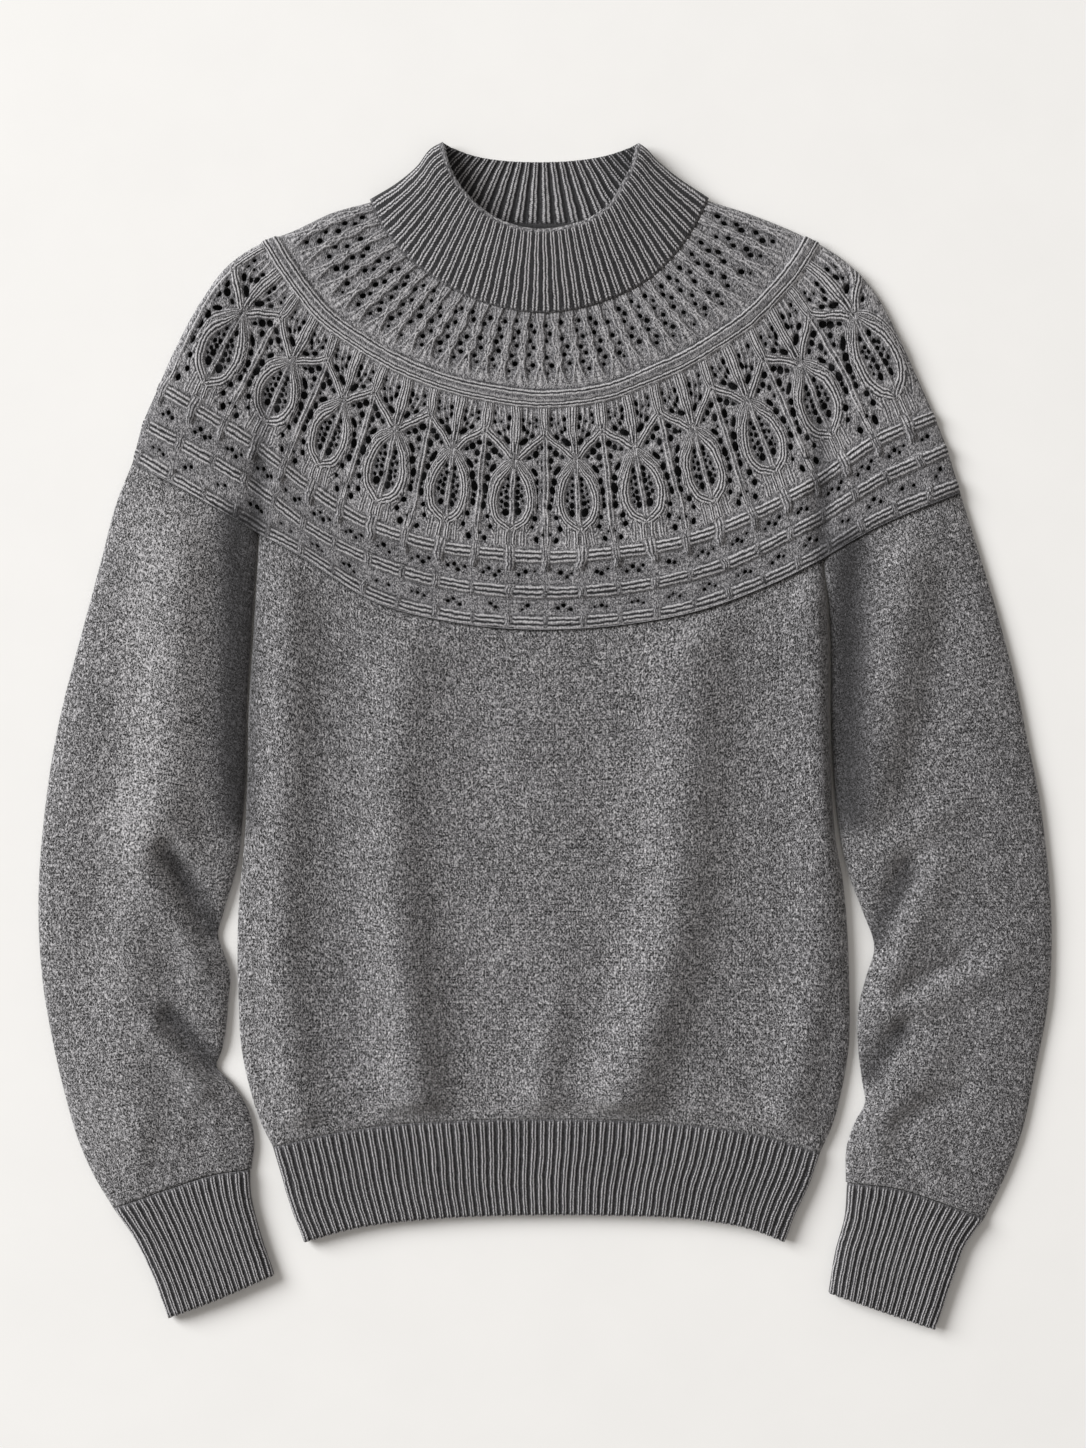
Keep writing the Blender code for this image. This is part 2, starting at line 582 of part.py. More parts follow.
def turn_points(sides, shares, turn):
    """Rows of points beside two sides, where the cloth turns over."""
    rows = []
    for side, way in zip(sides, (1, -1)):
        base = at(side, shares)
        slope = at(side, np.add(shares, 0.02)) - at(side, np.add(shares, -0.02))
        inward = way * np.column_stack([-slope[:, 1], slope[:, 0]]) / np.linalg.norm(slope, axis=1)[:, None]
        for share in TURN_SHARES:
            rows.append(base + inward * (share * turn(base))[:, None])
    return np.vstack(rows)


def spaced(candidates, outline, holes, clear):
    """The candidate points that keep clear of the holes, the outline and each other."""
    border = np.vstack([outline, outline[:1]])
    plan = candidates[:, :2]
    keep = inside(outline, plan) & (distance(border, plan) > clear)
    for loop in holes:
        near = np.linalg.norm(plan - loop.mean(axis=0), axis=1) < 3 * HOLE_MARGIN
        ring = np.vstack([loop, loop[:1]])
        keep[near] &= ~inside(loop, plan[near]) & (distance(ring, plan[near]) > clear)
    kept = []
    for point in candidates[keep]:
        if not kept or np.linalg.norm(np.array(kept)[:, :2] - point[:2], axis=1).min() > 2 * clear:
            kept.append(point)
    return np.array(kept)


def face_height(plan, sides, turn, rim, top, depth):
    """Height of a sheet's outer face (depth 0) or inner face (depth CLOTH), turned over at its sides."""
    away = np.minimum(distance(sides[0], plan), distance(sides[1], plan))
    turned = np.clip((turn - away) / (turn - depth), 0, 1)
    inward = np.where(top > rim, -depth, depth)
    return rim + (top + inward - rim) * np.sqrt(1 - turned**2)


def add_sheet(name, rows, sides, turn, rim, top, holes, outer_points, inner_points, colour):
    """A closed wall of cloth over an outline in plan. rows are its first, last, left and right borders,
    turn(plan) and top(plan) its turning radius and outer height, and the points' third value their relief."""
    outline, inner_outline, on_side = sheet_outline(*rows)
    count, vertices, faces = 0, [], []
    for border, points, depth, order in (
        (outline, outer_points, 0.0, (0, 1, 2)), (inner_outline, inner_points, CLOTH, (2, 1, 0)),
    ):
        own_faces, fixed = triangles(border, holes, points[:, :2])
        plan = np.vstack([border, *holes, points[:, :2]])
        level = face_height(plan, sides, turn(plan), rim, top(plan), depth)
        level[:len(border)][on_side] = rim
        level[fixed:] += points[:, 2]
        vertices.append(np.column_stack([plan, level]))
        faces += [tuple(int(face[k]) + count for k in order) for face in own_faces]
        count += len(plan)
    inner_start, start = len(vertices[0]), 0
    for loop in [outline, *holes]:
        size = len(loop)
        for k in range(size):
            a, b = start + k, start + (k + 1) % size
            faces.append((a, b, inner_start + b, inner_start + a))
        start += size
    return add_object(name, np.vstack(vertices), faces, colour)


def make_yoke():
    sides = [smooth_path(SHOULDER_LEFT), smooth_path(SHOULDER_RIGHT)]
    edge = yoke_edge_points((8, 34, 8))
    borders = [at(side, SIDE_SHARES) for side in sides]
    front_rows = (at(LEVELS[0], np.linspace(0, 1, COLLAR_RIBS + 1)), edge, *borders)
    outline = sheet_outline(*front_rows)[0]
    holes = [
        loop for loop in hole_loops()
        if inside(outline, loop).all() and min(distance(side, loop).min() for side in sides) > HOLE_MARGIN
    ]
    turned = turn_points(sides, SIDE_SHARES, yoke_turn)
    turned = np.column_stack([turned, np.zeros(len(turned))])
    across, down = np.meshgrid(np.linspace(0.05, 0.95, 17), PLAIN_LEVELS)
    plain = yoke_plan(across.ravel(), down.ravel())
    plain = np.column_stack([plain, np.zeros(len(plain))])
    valleys = [(x, y, 0) for x, y in YOKE_VALLEY_POINTS]
    add_sheet(
        "yoke_front", front_rows, sides, yoke_turn, CREASE + SEAM_GAP / 2, yoke_height, holes,
        spaced(np.vstack([turned, yoke_points()]), outline, holes, OUTER_SPACING),
        spaced(np.vstack([turned, valleys, plain]), outline, holes, INNER_SPACING), BODY_GREY,
    )
    seam = at(smooth_path(shifted(COLLAR_BACK_SEAM, -SEAM_GAP / 2)), np.linspace(0, 1, COLLAR_BACK_RIBS + 1))
    back_rows = (seam, edge, *borders)
    points = spaced(turned, sheet_outline(*back_rows)[0], [], BACK_SPACING)
    add_sheet(
        "yoke_back", back_rows, sides, yoke_turn, CREASE - SEAM_GAP / 2,
        lambda plan: 0 * plan[:, 0], [], points, points, BODY_GREY,
    )


def make_body():
    patch = Patch(YOKE_EDGE_BODY, HEM_LINE, BODY_LEFT, BODY_RIGHT)
    turns = (BODY_TURN, BODY_TURN)
    s = stations(patch, turns, 24)
    v = patch.rows(np.linspace(0, 1, 13))[:, None]
    plan = patch.plan(s[None, :], v)
    height = np.maximum(BODY_TOP + fold_height(BODY_FOLDS, plan), LOWEST_TOP)
    add_wall("body_front", *layer(patch, s[None, :], v, turns, CREASE + SEAM_GAP / 2, height), BODY_GREY)
    ends = patch.rows((0, 1))
    shares = np.linspace(0, 1, 27)
    sides = [patch.left, patch.right]
    borders = [at(side, SIDE_SHARES) for side in sides]
    back_rows = (patch.plan(shares, ends[0]), patch.plan(shares, ends[1]), *borders)
    turned = turn_points(sides, SIDE_SHARES, lambda base: BODY_TURN + 0 * base[:, 0])
    turned = np.column_stack([turned, np.zeros(len(turned))])
    points = spaced(turned, sheet_outline(*back_rows)[0], [], BACK_SPACING)
    add_sheet(
        "body_back", back_rows, sides, lambda plan: BODY_TURN, CREASE - SEAM_GAP / 2,
        lambda plan: 0 * plan[:, 0], [], points, points, BODY_GREY,
    )


def make_sleeve(name, yoke_edge, cuff_line, left, right, turns, folds):
    patch = Patch(yoke_edge, cuff_line, left, right)
    s_front = stations(patch, turns, 6)
    s_back = stations(patch, turns, 4)

    def height(plan, v):
        top = SLEEVE_TOP + (SLEEVE_END_TOP - SLEEVE_TOP) * ease(v, 0.55, 1.0)
        return np.maximum(top + fold_height(folds, plan), LOWEST_TOP)

    v = np.concatenate([np.linspace(0, 0.42, 5)[:-1], np.linspace(0.42, 1, 14)])
    plain = (np.zeros(len(s_front)), np.zeros(len(s_back)))
    tube(name, patch, patch, v, s_front, s_back, turns, (CREASE, CREASE), height, plain, BODY_GREY)


def make_ribbed_end(name, sides, ribs, turn, top, back_steps):
    """The hem rib or a cuff: a short flattened tube with ribs on its front."""
    patch = Patch(*sides)
    s_front, relief = rib_stations(ribs)
    s_back = stations(patch, (turn, turn), back_steps)
    tube(
        name, patch, patch, (0, 0.5, 1), s_front, s_back, (turn, turn), (CREASE, CREASE),
        lambda plan, v: top + 0 * plan[..., 0], (relief, np.zeros(len(s_back))), RIB_GREY,
    )


def main():
    for thing in list(bpy.data.objects):
        bpy.data.objects.remove(thing)
    make_collar()
    make_yoke()
    make_body()
    make_sleeve(
        "sleeve_left", SLEEVE_LEFT_YOKE, SLEEVE_LEFT_CUFF, SLEEVE_LEFT_OUTER, SLEEVE_LEFT_INNER,
        (SLEEVE_OUTER_TURN, SLEEVE_INNER_TURN), SLEEVE_LEFT_FOLDS,
    )
    make_sleeve(
        "sleeve_right", SLEEVE_RIGHT_YOKE, SLEEVE_RIGHT_CUFF, SLEEVE_RIGHT_INNER, SLEEVE_RIGHT_OUTER,
        (SLEEVE_INNER_TURN, SLEEVE_OUTER_TURN), SLEEVE_RIGHT_FOLDS,
    )
    make_ribbed_end("hem_rib", (HEM_LINE, HEM_EDGE, HEM_LEFT, HEM_RIGHT), HEM_RIBS, HEM_TURN, HEM_TOP, 14)
    make_ribbed_end(
        "cuff_left", (CUFF_LEFT_LINE, CUFF_LEFT_EDGE, CUFF_LEFT_OUTER, CUFF_LEFT_INNER),
        CUFF_RIBS, CUFF_TURN, CUFF_TOP, 4,
    )
    make_ribbed_end(
        "cuff_right", (CUFF_RIGHT_LINE, CUFF_RIGHT_EDGE, CUFF_RIGHT_INNER, CUFF_RIGHT_OUTER),
        CUFF_RIBS, CUFF_TURN, CUFF_TOP, 4,
    )


main()
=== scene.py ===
"""Looks of the pointelle-yoke sweater: each cut piece as a thin shell of knit on its CAD solid's form.

Tables are in millimetres, as in the part's source, and the meshes are made in metres. The sweater lies on
the floor at z = 0, face up, with its neck towards +Y."""

import math

import bpy
import numpy as np
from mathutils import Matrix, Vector


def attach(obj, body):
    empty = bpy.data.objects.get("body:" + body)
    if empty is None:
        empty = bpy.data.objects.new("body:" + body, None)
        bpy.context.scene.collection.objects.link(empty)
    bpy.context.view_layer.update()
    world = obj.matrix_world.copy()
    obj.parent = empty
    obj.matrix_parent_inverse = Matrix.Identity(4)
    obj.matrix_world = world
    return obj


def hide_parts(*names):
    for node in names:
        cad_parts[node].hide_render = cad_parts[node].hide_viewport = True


MM = 0.001
SHELL = 1.7        # thickness of the cloth that shows
SEAM_GAP = 0.1     # between two pieces that are sewn together
CREASE = 3.6       # height of a side crease, where the front and back layers meet
LOWEST_TOP = 6.6   # no trough of the front layer lies lower
LOWEST_INNER = 0.3
BACK_KNIT = 900    # mm by which the back layers' knit is shifted, so that it isn't that of the front
TUBE_KNIT = 600    # the same for the back layer of a tube

# Heights of the front layer's outer face
BODY_TOP = 7.8
HEM_TOP = 8.4
SLEEVE_TOP = 10.4
SLEEVE_END_TOP = 9.4
CUFF_TOP = 9.0
COLLAR_SEAM_TOP = 9.6
COLLAR_EDGE_TOP = 19.5
COLLAR_SEAM_CREASE = 6.6
COLLAR_EDGE_CREASE = 8.5

# Turning radii seen from above, at the crease on each side of a piece
BODY_TURN = 9.0
HEM_TURN = 7.0
SLEEVE_OUTER_TURN = 30.0
SLEEVE_INNER_TURN = 22.0
CUFF_TURN = 11.0
COLLAR_TURN = 16.0
SHOULDER_TURN = 11.0

# Knit patterns
COLLAR_RIBS = 40
COLLAR_BACK_RIBS = 24
HEM_RIBS = 64
CUFF_RIBS = 17
RIB_RELIEF = 1.6
RIB_FURROW = 0.54      # painted shade: brightness of a furrow between two ribs, of the hem and cuffs
COLLAR_FURROW = 0.40
COLLAR_LIFT = 0.10     # painted highlight: how much brighter the collar's raised stitch lines are
WELT_HALF = 4.9
WELT_RELIEF = 2.0
BAND_COLUMNS = 31
LACE_REPEATS = 12

# Outlines seen from above: x, y
COLLAR_SEAM = (
    (-122, 375), (-111, 353), (-93, 333), (-67, 315), (-39, 303), (-1, 297),
    (46, 307), (72, 320), (95, 343), (107, 362), (114, 376),
)
COLLAR_BACK_SEAM = ((-122, 375), (-62, 364), (-3.5, 360), (55, 364), (114, 376))
COLLAR_FRONT_EDGE = (
    (-71, 415), (-67, 400), (-60, 386), (-50, 374), (-36, 363), (-18, 356), (-4, 354),
    (13, 356), (31, 362), (45, 372), (53, 385), (59.5, 397), (64.5, 414.5),
)
COLLAR_BACK_EDGE = (
    (-71, 415), (-46, 407), (-29, 404.5), (-4, 403.5), (20, 404.5), (38, 407), (64.5, 414.5),
)
COLLAR_LEFT = ((-122, 375), (-101.5, 387.5), (-88, 399), (-79, 410.5), (-71, 415))
COLLAR_RIGHT = ((114, 376), (90, 392), (77, 403), (69, 411.5), (64.5, 414.5))
SHOULDER_LEFT = (
    (-122, 375), (-149, 367.5), (-178, 354), (-197, 347), (-223, 330), (-241, 306),
    (-260, 271), (-274, 239), (-281, 223), (-289.5, 192),
)
SHOULDER_RIGHT = (
    (114, 376), (145, 366), (183, 350), (203, 339), (228, 316), (248, 281),
    (262, 250), (276, 218), (282, 202), (291.5, 171),
)
UPPER_WELT = (
    (-192.5, 349), (-175, 321), (-154, 295), (-130, 277), (-91, 256), (-45, 242), (-3, 236.5),
    (45, 242), (80.5, 256), (108.5, 270), (145, 295), (170.5, 322), (187, 348),
)
FIRST_WELT = (
    (-271.6, 244), (-243.6, 228.5), (-218, 213), (-197, 200), (-171.5, 179), (-130, 152),
    (-90, 137), (-45, 129), (-3.5, 126), (60, 130), (108.5, 140), (145, 155), (193, 180),
    (232, 207), (273.7, 224),
)
SECOND_WELT = (
    (-281, 219), (-199, 172), (-165, 146), (-129.5, 127), (-60, 106), (-3.5, 101),
    (60, 105), (108.5, 115), (170, 141), (195, 155), (232, 178), (282, 200.5),
)
THIRD_WELT = (
    (-288, 197), (-200.5, 147), (-178, 135), (-115.5, 97.5), (-60, 84), (-3.5, 79.5),
    (55, 83), (108.5, 93), (160, 112), (194, 129), (232, 152), (290, 176.5),
)
YOKE_EDGE_SLEEVE_LEFT = ((-289.5, 192), (-245, 168), (-200.5, 142))
YOKE_EDGE_BODY = (
    (-200.5, 142), (-178, 130), (-115.5, 92.5), (-60, 79), (-3.5, 74.5),
    (55, 78), (108.5, 88), (160, 107), (194.2, 124),
)
YOKE_EDGE_SLEEVE_RIGHT = ((194.2, 124), (232, 146), (291.5, 171))
BODY_LEFT = (
    (-200.5, 142), (-203, 100), (-205, 67.5), (-208, 20), (-209, -30), (-211, -75), (-214, -106),
    (-215.6, -133), (-215, -186), (-213.5, -215), (-207, -247.5), (-199, -272), (-191, -288),
)
BODY_RIGHT = (
    (194.2, 124), (197.5, 95), (199.3, 60), (199.3, 19), (201, -29), (204, -72.5), (209, -101),
    (212, -133), (213.5, -173), (213, -219), (208.6, -246), (201.6, -273), (193, -292),
)
HEM_LINE = (
    (-191, -288), (-156, -279.5), (-115, -273), (-65, -269.5), (0, -268.2), (65, -269.7),
    (115, -273.7), (156, -280.5), (193, -292),
)
HEM_EDGE = (
    (-169, -354), (-135, -344.5), (-85, -338), (-21, -335), (42, -335), (106, -338),
    (145, -345), (168.5, -354),
)
HEM_LEFT = ((-191, -288), (-185, -308), (-178, -331), (-169, -354))
HEM_RIGHT = ((193, -292), (185.5, -313), (176, -334), (168.5, -354))
SLEEVE_LEFT_YOKE = ((-289.5, 192), (-245, 168), (-201.5, 142.6))
SLEEVE_LEFT_CUFF = ((-303, -331), (-263, -316.5), (-226, -305.5), (-206, -303.5))
SLEEVE_RIGHT_YOKE = ((195.3, 124.4), (232, 146), (291.5, 171))
SLEEVE_RIGHT_CUFF = ((211, -312.5), (251, -317.5), (273.7, -325), (308.5, -338))
SLEEVE_LEFT_OUTER = (
    (-289.5, 192), (-300, 166), (-311.5, 123.5), (-326.5, 67.5), (-337, 28), (-345, -9.5),
    (-351, -51.5), (-355.6, -117), (-352, -177), (-346.5, -209), (-337, -251), (-327.6, -283),
    (-318, -305.5), (-303, -331),
)
SLEEVE_LEFT_INNER = (
    (-201.5, 142.6), (-204.2, 100), (-206.2, 67.5), (-209.2, 20), (-210, -30), (-212.4, -62),
    (-215.2, -86.5), (-226, -125), (-229.5, -139), (-225, -153), (-221, -165.5), (-222, -183),
    (-227, -221), (-230.5, -231), (-222, -241), (-209, -260), (-204, -283), (-206, -303.5),
)
SLEEVE_RIGHT_INNER = (
    (195.3, 124.4), (198.7, 95), (200.5, 60), (200.6, 19), (202.3, -29), (206.8, -69),
    (212.8, -96), (222.6, -122), (231, -149.5), (225.5, -168), (220, -190), (219.5, -216),
    (222.6, -242.5), (224.5, -257), (217.7, -270), (212, -286), (211, -312.5),
)
SLEEVE_RIGHT_OUTER = (
    (291.5, 171), (322.7, 67.5), (332, 30.5), (339, -4.5), (346, -37), (351, -72.5), (355.6, -133),
    (354, -180), (344, -235), (333, -283), (325, -304), (308.5, -338),
)
CUFF_LEFT_LINE = ((-302.8, -331.2), (-263, -317), (-226, -306), (-207, -304))
CUFF_LEFT_EDGE = ((-264.6, -407.5), (-228, -393.5), (-190, -377))
CUFF_LEFT_OUTER = ((-302.8, -331.2), (-287, -354), (-274, -381), (-264.6, -407.5))
CUFF_LEFT_INNER = ((-207, -304), (-206.5, -319.5), (-200, -347), (-190, -377))
CUFF_RIGHT_LINE = ((212, -313), (251, -318), (273.7, -325.5), (308.3, -338.2))
CUFF_RIGHT_EDGE = ((199, -389.5), (236, -402.5), (274, -415.4))
CUFF_RIGHT_INNER = ((212, -313), (210, -338), (204, -360), (199, -389.5))
CUFF_RIGHT_OUTER = ((308.3, -338.2), (295, -357), (286.6, -379), (274, -415.4))

# Folds: path of the crest or trough, half width, height, and share of the height at the path's start
BODY_FOLDS = (
    (((-98, 67), (-104, 0), (-107, -65), (-101, -149), (-91, -250)), 21, 15.0, 0.45),
    (((103, 82), (98, -27), (89, -125), (74, -195), (54, -252)), 24, 15.5, 0.55),
    (((-180, 128), (-181, 40), (-184, -60), (-184, -180), (-176, -240), (-172, -264)), 17, 8.4),
    (((184, 108), (190, 30), (192, -80), (188, -180), (176, -240), (172, -266)), 17, 8.0),
    (((-143, 90), (-146, 0), (-148, -120), (-140, -230)), 16, -1.0),
    (((-52, 40), (-58, -60), (-52, -160), (-56, -250)), 20, -0.9),
    (((142, 90), (140, -10), (138, -110), (118, -220)), 20, -1.2),
    (((-10, 55), (0, -60), (-4, -180), (4, -262)), 26, 1.0),
    (((16, -120), (9, -184), (2, -212), (-2, -240), (-4, -268)), 16, 7.6, 0.1),
    (((114, -200), (110, -240), (108, -268)), 12, 3.6, 0.1),
    (((-150, -250), (-140, -272)), 8, 1.2),
    (((130, -250), (124, -275)), 9, 1.2),
)
SLEEVE_LEFT_FOLDS = (
    (((-254, 160), (-260, 60), (-264, -20), (-266, -70)), 24, 11.5),
    (((-264, -78), (-246, -110), (-230, -139)), 8, -8.6),
    (((-283, -88), (-262, -124), (-243, -158)), 12, 6.0),
    (((-262, -196), (-243, -216), (-230, -231)), 8, -6.4),
    (((-274, -206), (-240, -247)), 9, 5.6),
    (((-293, -80), (-276, -50)), 18, 4.2),
    (((-285, -120), (-292, -200), (-284, -270)), 22, 6.4),
    (((-322, 20), (-330, -60), (-332, -130)), 16, 1.4),
    (((-318, -215), (-300, -270)), 14, 1.6),
    (((-232, -262), (-228, -300)), 6, 1.6),
    (((-250, -258), (-262, -310)), 8, 1.8),
    (((-282, -270), (-286, -316)), 9, 1.4),
)
SLEEVE_RIGHT_FOLDS = (
    (((250, 150), (248, 90), (238, 20), (226, -42)), 22, 9.6),
    (((213, 110), (213, 40), (213, -40)), 12, -4.0),
    (((256, -92), (246, -112), (236, -130), (229, -148)), 9, -7.4),
    (((238, -80), (292, -44)), 11, 3.8),
    (((278, -92), (264, -120), (248, -152), (236, -190)), 14, 4.6),
    (((250, -178), (290, -158)), 8, -4.6),
    (((252, -192), (318, -160)), 12, 4.8),
    (((252, -202), (238, -222), (227, -240)), 8, -6.0),
    (((276, -216), (254, -246), (232, -274)), 13, 4.2),
    (((250, -270), (292, -248)), 8, -3.6),
    (((282, 100), (268, 20), (252, -30)), 12, -2.4),
    (((304, 60), (312, -20), (316, -90)), 18, 1.8),
    (((324, -150), (312, -220)), 14, 1.6),
    (((236, -285), (232, -312)), 6, 1.6),
    (((270, -288), (276, -322)), 8, 1.8),
)
# Deep valleys that little light reaches, and faces turned to it: path, half width, share of the light taken
VALLEYS = (
    (((-217, 150), (-217, 60), (-219, 0), (-216, -56)), 13, 0.55),
    (((-206, 150), (-205, 60), (-208, -40)), 6, 0.20),
    (((213, 130), (213, 60), (213, 0), (213, -52)), 15, 0.57),
    (((-262, -84), (-246, -110), (-232, -134)), 8, 0.42),
    (((-262, -196), (-245, -214), (-232, -229)), 8, 0.42),
    (((254, -96), (242, -120), (232, -142)), 8, 0.36),
    (((250, -206), (237, -222), (228, -236)), 7, 0.34),
    (((-258, 150), (-272, 40), (-278, -60)), 34, -0.22),
    (((190, 60), (192, -240)), 45, 0.08),
    (((330, 60), (338, -60), (335, -250)), 80, 0.08),
    (((-140, 60), (-146, -100), (-140, -230)), 30, 0.05),
    (((-300, -110), (-304, -200), (-292, -280)), 26, -0.05),
    (((-201, 142), (-200, 190), (-197, 235)), 6, 0.30),
    (((195, 124), (195, 175), (192, 215)), 6, 0.30),
)
YOKE_FOLDS = (
    (((-200.5, 142), (-200, 185)), 9, -2.6),
    (((-200, 185), (-199, 235)), 10, -1.2),
    (((194.2, 124), (195, 170)), 9, -2.6),
    (((195, 170), (194, 225)), 10, -1.2),
    (((-196, 150), (-186, 200), (-180, 250)), 9, 1.6),
    (((184, 140), (180, 190), (176, 240)), 9, 1.6),
)

# One lace repeat, from its bulb's line out to the stem between two bulbs, and mirrored: mm across and down
UNIT_WIDTH = 47.6
UNIT_HEIGHT = 99.4
UNIT_FIRST, UNIT_LAST = 1.047, 1.946  # levels of the yoke between which the repeat lies
# Strands: path, half width, number of lines, height, strength of the lines, and, where a strand starts narrow,
# the share of its half width there
UNIT_STRANDS = (
    (((2.3, -3), (2.2, 18), (1.3, 34)), 3.0, 3, 1.3, 0.9),
    (((21.5, -3), (21.7, 13), (22.6, 22)), 2.7, 3, 1.3, 0.9),
    (((23.0, 20), (17.2, 24.9), (9.5, 30.0), (2.6, 36.5)), 3.1, 3, 1.1, 1.0),
    (((0.95, 33), (0.95, 48)), 0.95, 1, 1.3, 1.0),
    (((1.0, 48), (1.1, 60), (1.0, 84)), 1.0, 1, 1.2, 1.0),
    (((1.8, 40.5), (5.6, 46.3), (10.4, 52.8), (13.2, 60), (13.8, 68), (12.6, 75.5), (9.2, 81.6), (4.6, 85.0),
      (1.9, 87)), 4.3, 4, 1.3, 1.0, 0.45),
    (((3.2, 38.6), (8.4, 43.0), (13.8, 50.6), (17.3, 60.0), (17.8, 69)), 2.6, 3, 0.6, 0.7, 0.6),
    (((22.7, 22), (22.5, 40), (22.7, 86)), 1.15, 1, 1.3, 1.0),
    (((2.6, 86), (2.7, 104)), 2.7, 3, 1.1, 0.9),
    (((22.2, 86), (22.4, 104)), 1.7, 2, 0.7, 0.8),
    (((8.6, 86), (8.8, 98)), 2.9, 3, 0.5, 0.6),
    (((15.6, 74), (15.0, 82), (11.4, 90)), 2.2, 2, 0.5, 0.6),
    (((9.5, 2), (8.6, 12), (6.0, 22)), 1.2, 1, 0.6, 0.8),
    (((13.6, 4), (13.2, 13), (9.6, 22.5)), 1.1, 1, 0.6, 0.8),
    (((18.6, 16), (11.0, 25.6)), 1.0, 1, 0.6, 0.7),
)
# Holes: across, down, length, width, lean of the length from level towards the bulb's foot, in degrees
UNIT_HOLES = (
    (6.3, 25.8, 7.4, 3.8, -38), (12.9, 21.4, 5.2, 3.3, -35), (19.7, 29.8, 5.2, 3.9, -15),
    (15.2, 33.6, 4.9, 4.4, -30), (19.3, 38.2, 4.7, 4.1, 90), (15.4, 46, 7.6, 3.6, 55),
    (18, 53.6, 5.2, 4.4, 90), (19.5, 60.4, 6.5, 4.3, 90), (20, 71, 5.5, 3.4, 90),
    (19.8, 43.6, 2.8, 2.3, 90), (19.8, 66, 3.4, 2.5, 90), (10.4, 36.2, 4, 2.5, -30),
    (3.6, 51.4, 3.6, 2.7, 80), (3.5, 56, 3.2, 3, 90), (3.5, 60.5, 3.6, 3.2, 90),
    (3.6, 64.8, 3.4, 3.2, 90), (3.7, 69.4, 4.1, 3.7, 90), (4.2, 74.9, 5.4, 4.4, 90),
    (6.5, 58, 3, 2.3, 70), (6.9, 62.6, 3.2, 2.4, 90), (7, 67.2, 3.2, 2.4, 90), (7.1, 71.6, 2.8, 2.1, 90),
    (6.3, 10, 4, 3.1, 70), (6.2, 15.8, 4.7, 3.1, 80), (8.9, 18.9, 3.4, 2.5, -50),
    (17.2, 8.8, 3.2, 2.5, 90), (17, 13.6, 3.4, 2.4, 110), (12, 12.6, 2.8, 2.1, -50),
    (16.4, 79.2, 4, 3.6, 90), (14.4, 86.2, 3.6, 3.2, 90),
    (18, 94.6, 4.9, 3.6, 80), (21.4, 90, 2.5, 2.1, 90),
)
NO_HOLE = 9.0        # mm to a hole that is too far away to be felt
LACE_SHIFT = 0.0065  # the motif's middle lies a little right of the yoke's
# Holes in the gap between two beaded columns of the upper band: mm from the gap's middle, mm down, size
BAND_PITCH = 12.4
BAND_HEIGHT = 60.5
BAND_HOLES = (
    (1.5, 8.5, 3.4), (-1.6, 14.0, 3.3), (1.5, 19.8, 3.2), (-1.5, 25.4, 3.5), (1.4, 31.2, 3.3),
    (-1.4, 36.8, 3.4), (1.2, 42.0, 2.6),
)
# Half width of a beaded column at places down it
BEAD_PLACES = (0, 5, 10, 14, 18, 22, 25.5, 31, 36.5, 40, 46, 52)
BEAD_WIDTHS = (2.8, 2.4, 0.9, 2.2, 2.9, 2.3, 0.8, 2.7, 0.8, 1.3, 2.8, 4.6)
# Welts: level, mm below it, half width, number of lines, strength of the lines, rank over what lies there
WELTS = (
    (1.0, 0.0, 6.6, 1, 0.0, 0.0), (1.0, -4.0, 2.5, 2, 1.0, 1.0), (1.0, 3.4, 3.3, 3, 1.0, 1.0),
    *((level, 0.0, WELT_HALF, 3, 1.0, 0.0) for level in (2.0, 3.0, 4.0)),
)
JOIN = 1.6      # mm from a welt's middle to the join of two pieces under it
WELT_MM = 25.0  # from one lower welt to the next
# Bars that run on over the lower welts, below bulbs and below stems: first and last level, half widths
BARS = ((1.93, 2.46, 3.5, 2.5), (2.84, 3.24, 2.5, 1.5), (3.74, 4.2, 2.2, 1.3))
# Eyelets between the lower welts, around each bar: mm across from the middle between two bars, level, size
EYELETS = (
    (-5.2, 2.52, 2.5), (-1.7, 2.45, 3.0), (1.9, 2.55, 2.8), (5.4, 2.44, 2.5),
    (-3.8, 3.55, 2.5), (0.1, 3.47, 2.9), (3.9, 3.57, 2.6),
)

# The camera, and the light and the floor, in metres
LENS_MM, SENSOR_MM = 85.0, 36.0
PICTURE_HEIGHT = 1.0136  # what the picture shows from top to bottom at the height below
PICTURE_LEVEL = 0.010
PICTURE_MIDDLE = (-0.0014, 0.00875)
KEY_PLACE = (-10.98, 5.07, 7.86)
FLOOR_HALF, FLOOR_LEVEL = 9.0, -0.0002
FLOOR_COLOUR = (0.935, 0.935, 0.930)

STITCH = 1.9  # mm of a strand's stitch
# Knits: how brushed, brightness, how far plain cloth lies below it, contrast, mm of a wale, sheen, and, for a
# strand's lines, their sharpness and strength, their ground, and their furrows' depth, which is also painted shade
KNITS = {
    "heather_knit": (0.80, 0.448, 0.21, 1.16, 2.3, 0.4, (1.3, 1.2, -0.02, 0.0)),
    "lace_knit": (0.50, 0.60, 0.13, 1.0, 1.9, 0.2, (3.5, 0.62, 0.41, 0.72)),
    "rib_knit": (0.25, 0.54, 0.15, 0.92, 1.9, 0.15, (1.3, 1.2, -0.02, 0.0)),
}
# Colours of the wool from the darkest, which furrows and painted shade reach, to the bright fibres: place on the
# ramp, red, green, blue
WOOL = (
    (0.0, 0.006, 0.006, 0.007), (0.28, 0.035, 0.035, 0.038), (0.5, 0.122, 0.121, 0.130),
    (0.74, 0.295, 0.293, 0.308), (1.0, 0.595, 0.59, 0.61),
)


